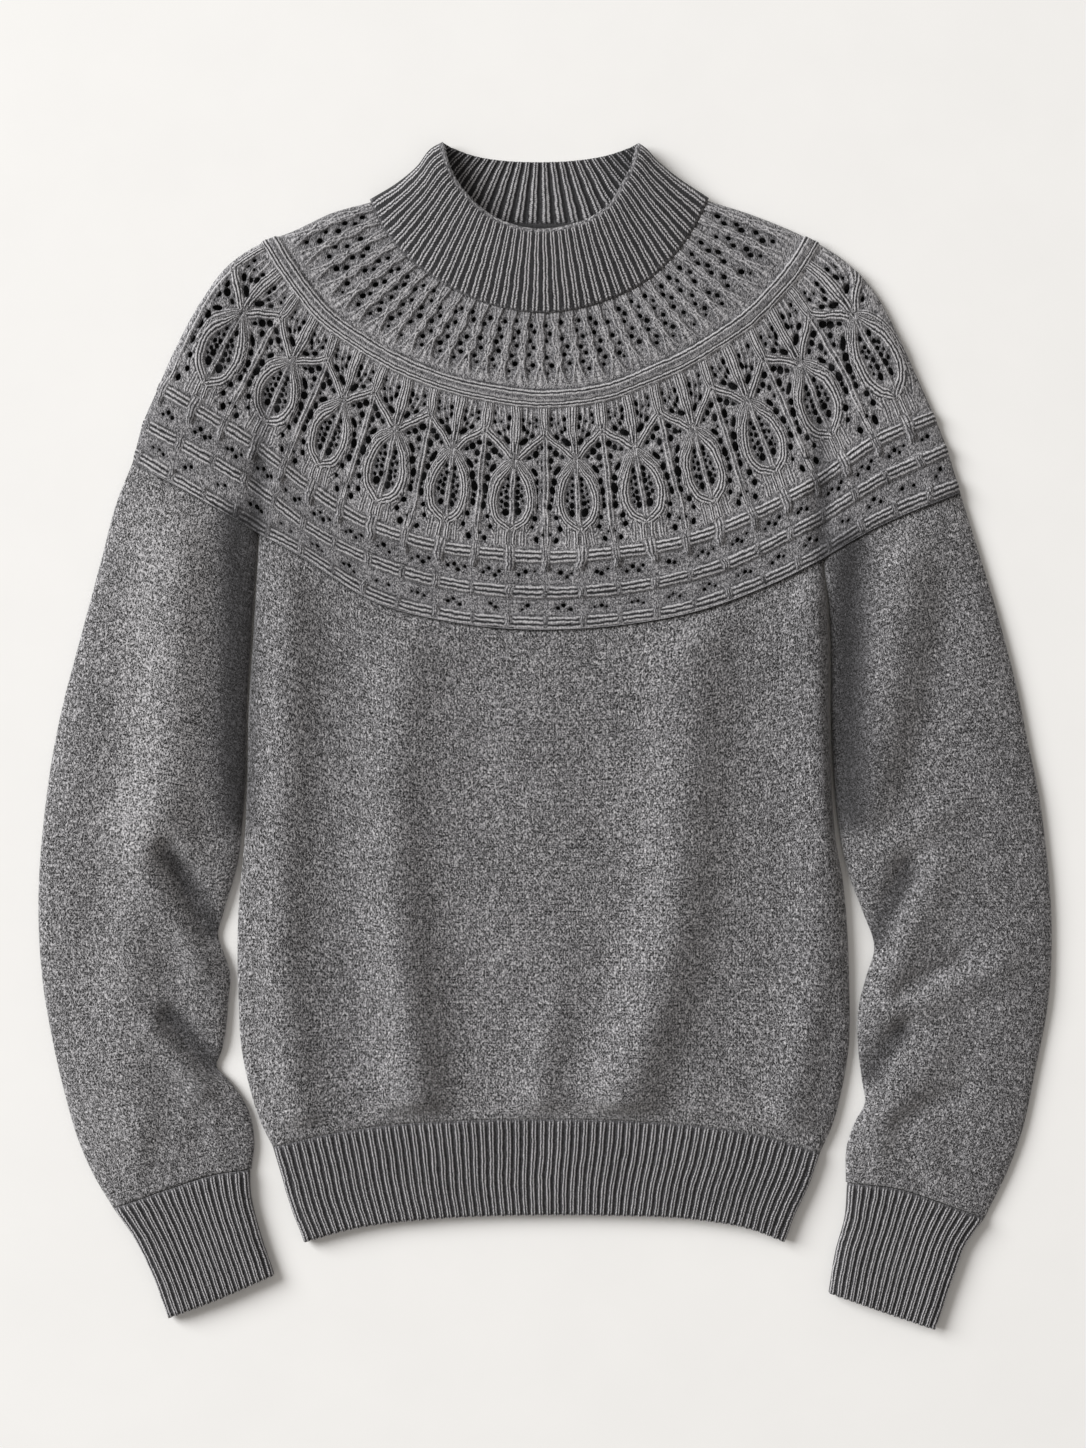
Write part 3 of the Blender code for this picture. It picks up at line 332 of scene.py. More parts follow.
def smooth_path(points, per_span=10):
    """A dense line of points on a smooth curve through a table's points."""
    table = np.array(points, float)
    run = run_of(table)
    slope = np.gradient(table, run, axis=0)
    t = np.linspace(0, 1, per_span, endpoint=False)[:, None]
    spans = []
    for a, b, slope_a, slope_b, length in zip(table, table[1:], slope, slope[1:], np.diff(run)):
        spans.append(
            (2 * t**3 - 3 * t**2 + 1) * a
            + (t**3 - 2 * t**2 + t) * length * slope_a
            + (3 * t**2 - 2 * t**3) * b
            + (t**3 - t**2) * length * slope_b
        )
    return np.vstack(spans + [table[-1:]])


def run_of(path):
    """Length along a path at each of its points."""
    return np.concatenate([[0], np.cumsum(np.linalg.norm(np.diff(path, axis=0), axis=1))])


def at(path, share):
    """Points at shares of a path's length."""
    run = run_of(path)
    place = np.asarray(share, float) * run[-1]
    return np.stack([np.interp(place, run, path[:, 0]), np.interp(place, run, path[:, 1])], axis=-1)


def beside(path, x, y):
    """Signed distance from a path and the length along it, for each point."""
    best, along, run = np.full(x.shape, 1e9), np.zeros(x.shape), 0.0
    for (ax, ay), (bx, by) in zip(path, path[1:]):
        length = max(math.hypot(bx - ax, by - ay), 1e-9)
        ux, uy = (bx - ax) / length, (by - ay) / length
        part = np.clip((x - ax) * ux + (y - ay) * uy, 0, length)
        dx, dy = x - ax - part * ux, y - ay - part * uy
        away = np.hypot(dx, dy) * np.where(ux * dy - uy * dx < 0, -1.0, 1.0)
        near = np.abs(away) < np.abs(best)
        best = np.where(near, away, best)
        along = np.where(near, run + part, along)
        run += length
    return best, along


def fold_height(folds, plan):
    """Sum of the soft ridges and troughs of a fold table at points in plan."""
    total = np.zeros(plan.shape[:-1])
    for path, half_width, height, *start in folds:
        line = smooth_path(path, 4)
        away, along = beside(line, plan[..., 0], plan[..., 1])
        first = start[0] if start else 1.0
        grown = first + (1 - first) * ease(along, 0, run_of(line)[-1])
        total += height * grown * np.exp(-((away / half_width) ** 2))
    return total


def swell(plan, size, seed):
    """Slow seeded waves between -1 and 1, as long as size."""
    rng = np.random.default_rng(seed)
    total = np.zeros(plan.shape[:-1])
    for _ in range(7):
        angle, phase = rng.uniform(0, math.pi), rng.uniform(0, 2 * math.pi)
        length = size * rng.uniform(0.7, 1.6)
        way = plan[..., 0] * math.cos(angle) + plan[..., 1] * math.sin(angle)
        total += np.sin(2 * math.pi * way / length + phase)
    return total / 4


def ease(value, start, end):
    """0 before start, 1 after end, with a soft step between."""
    share = np.clip((np.asarray(value, float) - start) / (end - start), 0, 1)
    return share * share * (3 - 2 * share)


class Patch:
    """A four-sided area in plan: s runs from its left side to its right, v from its first row to its last."""

    def __init__(self, first, last, left, right, reach=None):
        self.reach = reach
        self.first, self.last, self.left, self.right = (smooth_path(p) for p in (first, last, left, right))
        self.length = float(np.linalg.norm(at(self.last, 0.5) - at(self.first, 0.5)))

    def plan(self, s, v):
        s, v = np.broadcast_arrays(np.asarray(s, float), np.asarray(v, float))
        along_first, along_last = at(self.first, s), at(self.last, s)
        down_left, down_right = at(self.left, v), at(self.right, v)
        s, v = s[..., None], v[..., None]
        bend_left = down_left - (1 - v) * self.first[0] - v * self.last[0]
        bend_right = down_right - (1 - v) * self.first[-1] - v * self.last[-1]
        near_left, near_right = 1 - s, s
        if self.reach:  # the sides bend only what is next to them
            near_left = np.clip(1 - s / self.reach, 0, 1) ** 1.5
            near_right = np.clip(1 - (1 - s) / self.reach, 0, 1) ** 1.5
        return (1 - v) * along_first + v * along_last + near_left * bend_left + near_right * bend_right

    def rows(self, count):
        trim = 0.5 * SEAM_GAP / self.length
        return np.linspace(trim, 1 - trim, count)

    def span(self, v):
        return np.linalg.norm(at(self.right, v) - at(self.left, v), axis=-1)


def stations(patch, turns, cell):
    """Shares across a patch: close together where the cloth turns over, even between."""
    width = float(patch.span(0.5))
    angles = np.radians([0, 15, 30, 45, 60, 75, 90])
    left = turns[0] * (1 - np.cos(angles)) / width
    right = 1 - turns[1] * (1 - np.cos(angles[::-1])) / width
    inner = int(round((right[0] - left[-1]) * width / cell))
    return np.concatenate([left, np.linspace(left[-1], right[0], inner + 1)[1:-1], right])


def layer(patch, s, v, turns, rim, height):
    """Outer face of one layer of cloth that turns over at its two side creases, and how far it is turned up."""
    s, v = np.broadcast_arrays(s, v)
    plan = patch.plan(s, v)
    width = patch.span(v)
    share = np.minimum(np.minimum(s * width / turns[0], (1 - s) * width / turns[1]), 1)
    turned_up = np.sqrt(np.clip(1 - (1 - share) ** 2, 0, 1))
    level = rim + (height - rim) * turned_up
    return np.concatenate([plan, level[..., None]], axis=-1), turned_up


def face_normals(points, ring):
    """Normals of a grid of points, [row, station], facing away from the cloth."""
    down = np.gradient(points, axis=0)
    if ring:
        across = np.roll(points, -1, axis=1) - np.roll(points, 1, axis=1)
    else:
        across = np.gradient(points, axis=1)
    normal = np.cross(down, across)
    return normal / np.maximum(np.linalg.norm(normal, axis=-1), 1e-9)[..., None]


def grid_triangles(rows, columns, ring=False, away=None):
    """Triangles of a grid, wound so that its outer face looks out.

    away is the distance from each point to a hole: the cells' diagonals follow the holes' edges, and the triangles
    inside are left out."""
    i, j = np.meshgrid(np.arange(rows - 1), np.arange(columns if ring else columns - 1), indexing="ij")
    a, b = i * columns + j, i * columns + (j + 1) % columns
    c, d = b + columns, a + columns
    flip = (i + j) % 2 == 0
    if away is not None:
        away = away.ravel()
        near = np.abs(away)
        down_right, down_left = near[a] + near[c], near[b] + near[d]
        flip = np.where(np.minimum(down_right, down_left) < 1e-9, down_right <= down_left, flip)
    flip = flip[..., None]
    first = np.where(flip, np.stack([a, d, c], -1), np.stack([a, d, b], -1))
    second = np.where(flip, np.stack([a, c, b], -1), np.stack([b, d, c], -1))
    triangles = np.concatenate([first.reshape(-1, 3), second.reshape(-1, 3)])
    if away is not None:
        at_corners = away[triangles]
        inside = (at_corners <= 1e-9).all(axis=1) & (at_corners.min(axis=1) < -1e-6)
        triangles = triangles[~inside]
    return triangles


def add_object(name, data):
    """A new object in the scene."""
    thing = bpy.data.objects.new(name, data)
    bpy.context.scene.collection.objects.link(thing)
    return thing


def add_shell(name, node, outer, inner, triangles, marks, material, inner_shade=1.0):
    """A closed thin shell between an outer and an inner sheet of points, with its marks at each point."""
    # VALLEYS paint shade into the marks in deep valleys and on faces turned from the light, and a painted
    # highlight where the share is below zero
    for path, half_width, taken in VALLEYS:
        away, _ = beside(smooth_path(path, 4), outer[..., 0], outer[..., 1])
        marks["shade"] = marks["shade"] * (1 - taken * np.exp(-((away / half_width) ** 2)))
    outer, inner = outer.reshape(-1, 3), inner.reshape(-1, 3)
    count = len(outer)
    edges = np.concatenate([triangles[:, [0, 1]], triangles[:, [1, 2]], triangles[:, [2, 0]]])
    key = np.sort(edges, axis=1)
    _, where, uses = np.unique(key[:, 0] * count + key[:, 1], return_inverse=True, return_counts=True)
    rim = edges[uses[where] == 1]
    a, b = rim[:, 0], rim[:, 1]
    faces = np.concatenate([
        triangles, triangles[:, ::-1] + count,
        np.stack([b, a, a + count], -1), np.stack([b, a + count, b + count], -1),
    ])
    used, faces = np.unique(faces, return_inverse=True)
    faces = faces.reshape(-1, 3)
    points = np.concatenate([outer, inner])[used] * MM
    mesh = bpy.data.meshes.new(name)
    mesh.vertices.add(len(points))
    mesh.vertices.foreach_set("co", points.astype(np.float32).ravel())
    mesh.loops.add(faces.size)
    mesh.loops.foreach_set("vertex_index", faces.astype(np.int32).ravel())
    mesh.polygons.add(len(faces))
    mesh.polygons.foreach_set("loop_start", np.arange(0, faces.size, 3, dtype=np.int32))
    in_sheets = np.arange(len(faces)) < 2 * len(triangles)  # the rims between the two sheets stay sharp
    mesh.polygons.foreach_set("use_smooth", in_sheets)
    mesh.update(calc_edges=True)
    for mark, values in marks.items():
        flat = values.reshape(count, -1)
        # the inner sheet's shade is scaled by inner_shade, a painted shade on faces that little light reaches
        inside = flat * (inner_shade if mark == "shade" else 1)
        flat = np.concatenate([flat, inside])[used].astype(np.float32)
        kind = "FLOAT" if flat.shape[1] == 1 else "FLOAT_VECTOR"
        field = "value" if kind == "FLOAT" else "vector"
        mesh.attributes.new(mark, kind, "POINT").data.foreach_set(field, flat.ravel())
    mesh.materials.append(material)
    piece = add_object(name, mesh)
    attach(piece, "root")
    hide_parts(node)
    return piece


def no_strands(shape):
    """Marks of plain cloth: no lines, and no painted shade."""
    return {"strand": np.zeros((*shape, 3)), "shade": np.ones(shape)}


def rib_marks(share, down, count, furrow, lift):
    """Relief and marks of ribs, each a pair of stitch lines, with painted shade in the furrow between two ribs."""
    places = np.stack([share * count * 7.0, down], -1)
    place = share * count + 0.06 * swell(places, 60, 41) + 0.03 * swell(places, 16, 42)
    index = np.floor(place)
    f = place - index
    lines = 3 * index + np.clip((f - 0.15) / 0.35, -0.4, 2.4)
    mask = ease(f, 0.06, 0.17) * (1 - ease(f, 0.83, 0.94)) * ease(down, -1.0, 2.5)
    relief = np.sin(math.pi * np.clip((f - 0.06) / 0.88, 0, 1)) ** 0.6 * RIB_RELIEF
    raised = ease(relief, 0.25 * RIB_RELIEF, 0.85 * RIB_RELIEF)
    # painted shade in the furrows and, by lift, a painted highlight on the raised lines; both fade out towards the
    # seam
    shade = furrow + (1 + lift - furrow) * raised
    shade = 1 + (shade - 1) * ease(down, -0.5, 3.5 + 1.5 * np.sin(2.4 * index))
    # a dip down each rib's middle, painted darker as shade
    middle = np.exp(-(((f - 0.5) / 0.06) ** 2))
    shade = shade * (1 - 0.28 * middle)
    relief = (relief - 0.5 * middle) * (0.35 + 0.65 * ease(down, 0, 3.5))
    return relief, {"strand": np.stack([lines, down, mask], -1), "shade": shade}


def tube(name, node, patches, rows, stations_of, turns, rims, front_height, ribs, material,
         furrow=RIB_FURROW, lift=0.0, edge_bumps=0.0, rim_highlight=0.0):
    """A flattened tube: a front layer from left to right, and a back layer from right to left."""
    front, back = patches
    v = front.rows(rows)[:, None]
    rim = rims[0] + (rims[1] - rims[0]) * v
    s_front, s_back = stations_of[0][None, :], stations_of[1][None, ::-1]
    plan = front.plan(s_front, v)
    outer_front, up_front = layer(front, s_front, v, turns, rim, front_height(plan, v))
    outer_back, _ = layer(back, s_back, v, turns, rim, 0 * rim)
    base = np.concatenate([outer_front, outer_back[:, 1:-1]], axis=1)
    normal = face_normals(base, True)
    inner = base - SHELL * normal
    inner[..., 2] = np.maximum(inner[..., 2], LOWEST_INNER)
    shape, back_at = base.shape[:2], up_front.shape[1]  # the back layer starts at station back_at
    s_back = s_back[:, 1:-1]
    down = np.broadcast_to(v * front.length, shape)
    wide = front.span(v)
    across = np.concatenate([(s_front - 0.5) * wide, TUBE_KNIT + (s_back - 0.5) * wide], axis=1)
    if ribs:
        (relief_front, marks_front), (relief_back, marks_back) = (
            rib_marks(np.broadcast_to(s, part.shape), part, count, furrow, lift)
            for s, part, count in zip((s_front, s_back), (down[:, :back_at], down[:, back_at:]), ribs)
        )
        if rim_highlight:  # a painted highlight on the front's rolled edge, and painted shade on the back layer beside the front's sides
            marks_front["shade"][-2:] = rim_highlight
            marks_front["strand"][-2:, :, 2] = 0
            marks_back["shade"] *= 0.62 + 0.38 * ease(np.minimum(s_back, 1 - s_back), 0.04, 0.3)
        marks = {mark: np.concatenate([marks_front[mark], marks_back[mark]], axis=1) for mark in marks_front}
        outer = base.copy()
        raised = (relief_front * ease(up_front, 0, 0.5))[..., None]
        outer[:, :back_at] += raised * normal[:, :back_at]
        inner[:, back_at:, 2] += np.maximum(relief_back, 0)
        way = plan[-1] - plan[-2]
        way /= np.linalg.norm(way, axis=-1)[:, None]
        outer[-1, :back_at, :2] += edge_bumps * relief_front[-1][:, None] * way
    else:
        outer, marks = base, no_strands(shape)
    marks["knit"] = np.stack([across, down, 0 * down], -1)
    triangles = grid_triangles(*shape, ring=True)
    return add_shell(name, node, outer, inner, triangles, marks, material)


def yoke_levels():
    """The yoke's level lines: its collar seam, its four welts and its lower edge."""
    lines = [smooth_path(line) for line in (COLLAR_SEAM, UPPER_WELT, FIRST_WELT, SECOND_WELT, THIRD_WELT)]
    edges = (YOKE_EDGE_SLEEVE_LEFT, YOKE_EDGE_BODY, YOKE_EDGE_SLEEVE_RIGHT)
    lines.append(np.vstack([smooth_path(edge) for edge in edges]))
    lines[0][:, 1] -= SEAM_GAP / 2
    lines[-1][:, 1] += SEAM_GAP / 2
    return lines


LEVELS = yoke_levels()
YOKE_END = 4.25
LEVEL_AT = (0.0, 1.0, 2.0, 3.0, 4.0, YOKE_END)
LEVEL_LENGTHS = [run_of(line)[-1] for line in LEVELS]
TONE_LEVELS = (1.0, 1.05, 1.92, 2.0, YOKE_END)
TONES = (1.02, 1.09, 1.09, 0.95, 0.92)  # how bright the yoke's cloth is at those levels
LEVEL_DOWN = (0.0, 60.5, 171.0, 196.0, 217.5, 222.5)  # mm down the middle of the yoke


def side_path(shoulder, end):
    """Levels down the yoke, and how far a shoulder's outline is there from straight lines between the levels."""
    path = smooth_path(shoulder)
    run = run_of(path)
    ends = np.array([line[end] for line in LEVELS])
    places = [run[np.argmin(np.linalg.norm(path - point, axis=1))] for point in ends]
    levels = np.linspace(0, YOKE_END, 171)
    place = np.interp(levels, LEVEL_AT, places)
    offset = [np.interp(place, run, path[:, k]) - np.interp(levels, LEVEL_AT, ends[:, k]) for k in (0, 1)]
    return levels, np.stack(offset, -1)


SIDES = (side_path(SHOULDER_LEFT, 0), side_path(SHOULDER_RIGHT, -1))
SIDE_REACH = 0.16  # share of the yoke's width over which its side bulges out to the shoulder's outline


def yoke_plan(s, v):
    """Place in plan of a point of the yoke: s across it, v down it, a whole number at each level line."""
    lines = np.stack([at(line, s) for line in LEVELS])
    index = np.clip(np.searchsorted(LEVEL_AT, v, side="right") - 1, 0, len(LEVELS) - 2)
    low, high = np.take(LEVEL_AT, index), np.take(LEVEL_AT, index + 1)
    share = ((v - low) / (high - low))[..., None]
    pick = np.indices(s.shape)
    plan = (1 - share) * lines[(index, *pick)] + share * lines[(index + 1, *pick)]
    for (levels, offset), from_side in zip(SIDES, (s, 1 - s)):
        weight = np.clip(1 - from_side / SIDE_REACH, 0, 1) ** 1.5
        plan[..., 0] += weight * np.interp(v, levels, offset[:, 0])
        plan[..., 1] += weight * np.interp(v, levels, offset[:, 1])
    return plan


def yoke_height(plan):
    """Height of the yoke's front, up to that of the collar's seam and of the sleeves."""
    x, y = plan[..., 0], plan[..., 1]
    over_sleeve = ease(np.abs(x + 3), 150, 245) * (SLEEVE_TOP - BODY_TOP)
    at_collar = (COLLAR_SEAM_TOP - BODY_TOP) * ease(y - 0.35 * np.abs(x + 3), 200, 300)
    height = BODY_TOP + np.maximum(over_sleeve, at_collar) + fold_height(YOKE_FOLDS, plan)
    return np.maximum(height + 0.35 * swell(plan, 70, 5), LOWEST_TOP)


def turned_over(plan, top, rim):
    """Height of a layer of the yoke that turns over at the shoulder creases, and how far it is turned up."""
    sides = [smooth_path(SHOULDER_LEFT, 5), smooth_path(SHOULDER_RIGHT, 5)]
    away = np.min([np.abs(beside(side, plan[..., 0], plan[..., 1])[0]) for side in sides], axis=0)
    turn = SHOULDER_TURN + (SLEEVE_OUTER_TURN - SHOULDER_TURN) * ease(-plan[..., 1], -340, -200)
    turned_up = np.sqrt(1 - np.clip((turn - away) / turn, 0, 1) ** 2)
    return rim + (top - rim) * turned_up, turned_up


class Strands:
    """The strand that lies on top at each point: its lines, the way along it, and how clearly it shows."""

    def __init__(self, shape):
        self.weight = np.zeros(shape)
        self.marks = np.zeros((*shape, 3))
        self.relief = np.zeros(shape)
        self.groove = np.zeros(shape)

    def lay(self, away, along, half, lines, height, strength, where=True, rank=0.0):
        weight = np.clip(1 - np.abs(away) / half, 0, 1) * where
        ranked = weight + rank * (weight > 0)
        over = ranked > self.weight
        mask = strength * ease(weight, 0.0, np.minimum(0.5, 0.45 / half))
        new = np.stack([(away / half + 1) * lines / 2, along, mask], -1)
        self.marks = np.where(over[..., None], new, self.marks)
        self.weight = np.where(over, ranked, self.weight)
        round_top = np.sqrt(np.clip(1 - (away / half) ** 2, 0, 1)) * where
        self.relief = np.maximum(self.relief, height * round_top)
        # the groove along the strand's edge, outside it, is lowered and painted with shade in yoke_piece
        edge = np.exp(-(((np.abs(away) - half - 0.3) / 0.7) ** 2)) * strength * where
        self.groove = np.maximum(self.groove, edge * (weight <= 0)) * (weight <= 0)


def unit_place(s, v):
    """Place in the lace repeat: which repeat, side of its bulb, mm across from it and mm down."""
    place = (s - LACE_SHIFT) * LACE_REPEATS
    repeat = np.clip(np.floor(place), 0, LACE_REPEATS - 1)
    x = (place - repeat - 0.5) * UNIT_WIDTH
    y = (v - UNIT_FIRST) / (UNIT_LAST - UNIT_FIRST) * UNIT_HEIGHT
    return repeat.astype(int), np.where(x < 0, -1.0, 1.0), np.abs(x), y


def wander(s, v):
    """Small seeded shifts that keep the repeats from being all alike, in mm across and down."""
    place = np.stack([s * 560, v * 100], -1)
    across = 1.1 * swell(place, 55, 11) + 0.55 * swell(place, 17, 13)
    return across, 1.1 * swell(place, 60, 12) + 0.5 * swell(place, 19, 14)


def yoke_strands(s, v, level_mm):
    """All that is knitted on the yoke: beaded columns, lace, welts and the bars that cross them."""
    made = Strands(s.shape)
    shift_x, shift_y = wander(s, v)
    _, side, x, y = unit_place(s, v)
    x, y = x + shift_x * side, y + shift_y
    in_lace = (v > 1.048) & (v < 1.955)
    for path, half, lines, height, strength, *start in UNIT_STRANDS:
        away, along = beside(smooth_path(path, 3), x, y)
        first = start[0] if start else 1.0
        half = half * (first + (1 - first) * ease(along, 0, 15))
        made.lay(away, along, half, lines, height, strength, in_lace)

    place = s * BAND_COLUMNS
    column_x = np.abs((place - np.floor(place) - 0.5) * BAND_PITCH + 0.4 * shift_x)
    down = v * BAND_HEIGHT + 1.4 * np.sin(2.3 * np.floor(place))
    in_band = (v < 0.90) & (v > 0.0)
    fade = 1 - ease(v, 0.74, 0.88)
    spread = np.interp(down, BEAD_PLACES, BEAD_WIDTHS)
    made.lay(column_x - spread, down, 1.15, 1, 1.5, 1.0, in_band * fade)
    made.lay(column_x, down, np.maximum(spread - 1.0, 0.5), 1, 1.0, 0.75, in_band * (spread > 1.5) * fade)
    made.relief = np.maximum(made.relief, 1.0 * np.exp(-((column_x / 3.2) ** 2)) * in_band * fade)

    for level, offset, half, lines, strength, rank in WELTS:
        away = (v - level) * level_mm + 0.35 * shift_y - offset
        near = np.abs(away) < half + 1
        made.lay(away, s * 600, half, lines, WELT_RELIEF, strength, near, rank)

    for low, high, strong_half, weak_half in BARS:
        in_bar = ease(v, low, low + 0.06) * (1 - ease(v, high - 0.1, high))
        narrow = 1 - 0.25 * ease(v, 0.5 * (low + high), high)
        bars = ((x, strong_half, 0.5, 0.7), (UNIT_WIDTH / 2 - x, weak_half, 0.3, 0.6))
        for across, half, more, strength in bars:
            made.lay(across, v * WELT_MM, half * narrow, 3, WELT_RELIEF + more, strength, in_bar, 1.0)
    return made


def drawn(rng, shape, index):
    """A function that draws one number for each unit of a pattern, and gives each point that of its unit."""
    return lambda low, high: rng.uniform(low, high, shape)[index]


def hole_field(s, v, cell):
    """Snaps points to the holes' edges. Returns the new s and v, and the distance to the nearest hole in mm."""
    rng = np.random.default_rng(21)
    away = np.full(s.shape, NO_HOLE)
    repeat, side, x, y = unit_place(s, v)
    shift_x, shift_y = wander(s, v)
    x, y = x + shift_x * side, y + shift_y
    start_x, start_y = x, y
    draw = drawn(rng, (LACE_REPEATS, 2), (repeat, (side > 0).astype(int)))
    in_lace = (v > 1.0) & (v < 2.0)
    for cx, cy, long, wide, lean in UNIT_HOLES:
        size, ox, oy = draw(0.86, 1.14), cx + draw(-0.5, 0.5), cy + draw(-0.6, 0.6)
        tilt = math.radians(lean) + draw(-0.2, 0.2)
        x, y, away = snap(x, y, ox, oy, long * size / 2, wide * size / 2, tilt, cell, away, in_lace)
    s = s + side * (x - start_x) / (UNIT_WIDTH * LACE_REPEATS)
    v = v + (y - start_y) / UNIT_HEIGHT * (UNIT_LAST - UNIT_FIRST)

    place = s * BAND_COLUMNS + 0.5
    gap = np.clip(np.floor(place), 0, BAND_COLUMNS).astype(int)
    x, y = (place - gap - 0.5) * BAND_PITCH, v * BAND_HEIGHT
    start_x, start_y = x, y
    in_band = v < 0.9
    turned = rng.choice((-1.0, 1.0), BAND_COLUMNS + 1)[gap]
    draw = drawn(rng, BAND_COLUMNS + 1, gap)
    for cx, cy, size in BAND_HOLES:
        shown, ox, oy = draw(0, 1) > 0.12, turned * cx + draw(-0.4, 0.4), cy + draw(-1.2, 1.2)
        radius = size / 2 * draw(0.85, 1.15)
        x, y, away = snap(x, y, ox, oy, radius, radius, 0.0, cell, away, in_band & shown)
    s = s + (x - start_x) / (BAND_PITCH * BAND_COLUMNS)
    v = v + (y - start_y) / BAND_HEIGHT

    place = (s - LACE_SHIFT) * LACE_REPEATS * 2
    group = np.clip(np.floor(place), 0, 2 * LACE_REPEATS - 1).astype(int)
    x, y = (place - group - 0.5) * UNIT_WIDTH / 2, v * WELT_MM
    start_x, start_y = x, y
    low = v > 2.2
    draw = drawn(rng, 2 * LACE_REPEATS, group)
    for cx, level, size in EYELETS:
        shown, ox, oy = draw(0, 1) > 0.1, cx + draw(-0.6, 0.6), level * WELT_MM + draw(-1.0, 1.0)
        radius = size / 2 * draw(0.85, 1.2)
        x, y, away = snap(x, y, ox, oy, radius, radius, 0.0, cell, away, low & shown)
    s = s + (x - start_x) / (UNIT_WIDTH * LACE_REPEATS)
    v = v + (y - start_y) / WELT_MM
    return s, v, away


def snap(x, y, cx, cy, long, wide, tilt, cell, away, where):
    """Moves the points next to an ellipse's edge onto it, and keeps the least signed distance to an edge."""
    dx, dy = x - cx, y - cy
    cos, sin = np.cos(tilt), np.sin(tilt)
    along, across = (dx * cos + dy * sin) / long, (dy * cos - dx * sin) / wide
    reach = np.maximum(np.hypot(along, across), 1e-6)
    gap = (reach - 1) * np.hypot(dx, dy) / reach
    near = where & (np.abs(gap) < 0.62 * cell) & (reach > 0.3)
    x = np.where(near, cx + dx / reach, x)
    y = np.where(near, cy + dy / reach, y)
    gap = np.where(near, 0.0, np.where(where, gap, NO_HOLE))
    return x, y, np.minimum(away, gap)


def yoke_piece(name, spans, counts, cell, material):
    """A part of the yoke's front between two levels, with its holes cut and its strands raised."""
    (s0, s1), (v0, v1) = spans
    s, v = np.meshgrid(np.linspace(s0, s1, counts[0] + 1), np.linspace(v0, v1, counts[1] + 1))
    border = np.zeros(s.shape, bool)
    border[[0, -1]] = True
    border[:, [0, -1]] = True
    new_s, new_v, away = hole_field(s, v, cell)
    keep_clear = border | (s < 0.012) | (s > 0.988)
    s, v = np.where(keep_clear, s, new_s), np.where(keep_clear, v, new_v)
    away = np.where(keep_clear, NO_HOLE, away)
    plan = yoke_plan(s, v)
    level, up = turned_over(plan, yoke_height(plan), CREASE + SEAM_GAP / 2)
    base = np.concatenate([plan, level[..., None]], -1)
    normal = face_normals(base, False)
    lower, upper = (yoke_plan(s, np.clip(v + step, 0, YOKE_END - 0.01)) for step in (0.02, -0.02))
    level_mm = np.linalg.norm(lower - upper, axis=-1) / 0.04
    strands = yoke_strands(s, v, level_mm)
    sink = np.exp(-np.clip(away, 0, NO_HOLE) / 1.1)
    relief = strands.relief * (1 - 0.5 * sink) - 0.55 * sink - 0.15 * strands.groove
    outer = base + (relief * ease(up, 0, 0.4))[..., None] * normal
    inner = base - SHELL * normal
    # painted shade in the grooves beside the strands, deeper in the upper band, and around the holes' edges
    groove = strands.groove * np.where(v < 0.9, 0.42, 0.22)
    shade = np.clip(1 - groove, 0, 1) * (1 - 0.3 * sink)
    shade = shade * np.interp(v, TONE_LEVELS, TONES)
    wide = np.interp(v, LEVEL_AT, LEVEL_LENGTHS)
    knit = np.stack([(s - 0.5) * wide, np.interp(v, LEVEL_AT, LEVEL_DOWN), 0 * s], -1)
    triangles = grid_triangles(*s.shape, away=away)
    marks = {"strand": strands.marks, "shade": shade, "knit": knit}
    return add_shell(name, "yoke_front", outer, inner, triangles, marks, material)


class Graph:
    """Short calls for a material's nodes."""

    def __init__(self, tree):
        self.tree = tree

    def put(self, socket, value):
        if isinstance(value, bpy.types.NodeSocket):
            self.tree.links.new(value, socket)
        else:
            socket.default_value = value

    def node(self, kind, **inputs):
        made = self.tree.nodes.new(kind)
        for name, value in inputs.items():
            self.put(made.inputs[name.replace("_", " ")], value)
        return made

    def math(self, operation, *values, clamp=False):
        made = self.tree.nodes.new("ShaderNodeMath")
        made.operation = operation
        made.use_clamp = clamp
        for socket, value in zip(made.inputs, values):
            self.put(socket, value)
        return made.outputs[0]

    def plus(self, a, b):
        return self.math("ADD", a, b)

    def minus(self, a, b, clamp=False):
        return self.math("SUBTRACT", a, b, clamp=clamp)

    def times(self, a, b, clamp=False):
        return self.math("MULTIPLY", a, b, clamp=clamp)

    def times_plus(self, a, b, c):
        return self.math("MULTIPLY_ADD", a, b, c)

    def combine(self, x, y, z=0.0):
        return self.node("ShaderNodeCombineXYZ", X=x, Y=y, Z=z).outputs[0]

    def stretched(self, x, y, x_scale, y_scale, z=0.0):
        return self.combine(self.times(x, x_scale), self.times(y, y_scale), z)

    def noise(self, vector, detail=1.0, rough=0.5, scale=1.0):
        made = self.node("ShaderNodeTexNoise", Vector=vector, Scale=scale, Detail=detail, Roughness=rough)
        return made.outputs["Fac"]

    def remap(self, value, low, high, to_low=0.0, to_high=1.0):
        limits = {"From_Min": low, "From_Max": high, "To_Min": to_low, "To_Max": to_high}
        return self.node("ShaderNodeMapRange", Value=value, **limits).outputs[0]

    def attribute(self, name):
        made = self.tree.nodes.new("ShaderNodeAttribute")
        made.attribute_name = name
        return made

    def split(self, vector):
        return self.node("ShaderNodeSeparateXYZ", Vector=vector).outputs


def new_material(name, **constants):
    """A material, the graph of its nodes, and its shader with its constants set."""
    material = bpy.data.materials.new(name)
    material.use_nodes = True
    shader = material.node_tree.nodes["Principled BSDF"]
    for socket, value in constants.items():
        shader.inputs[socket.replace("_", " ")].default_value = value
    return material, Graph(material.node_tree), shader


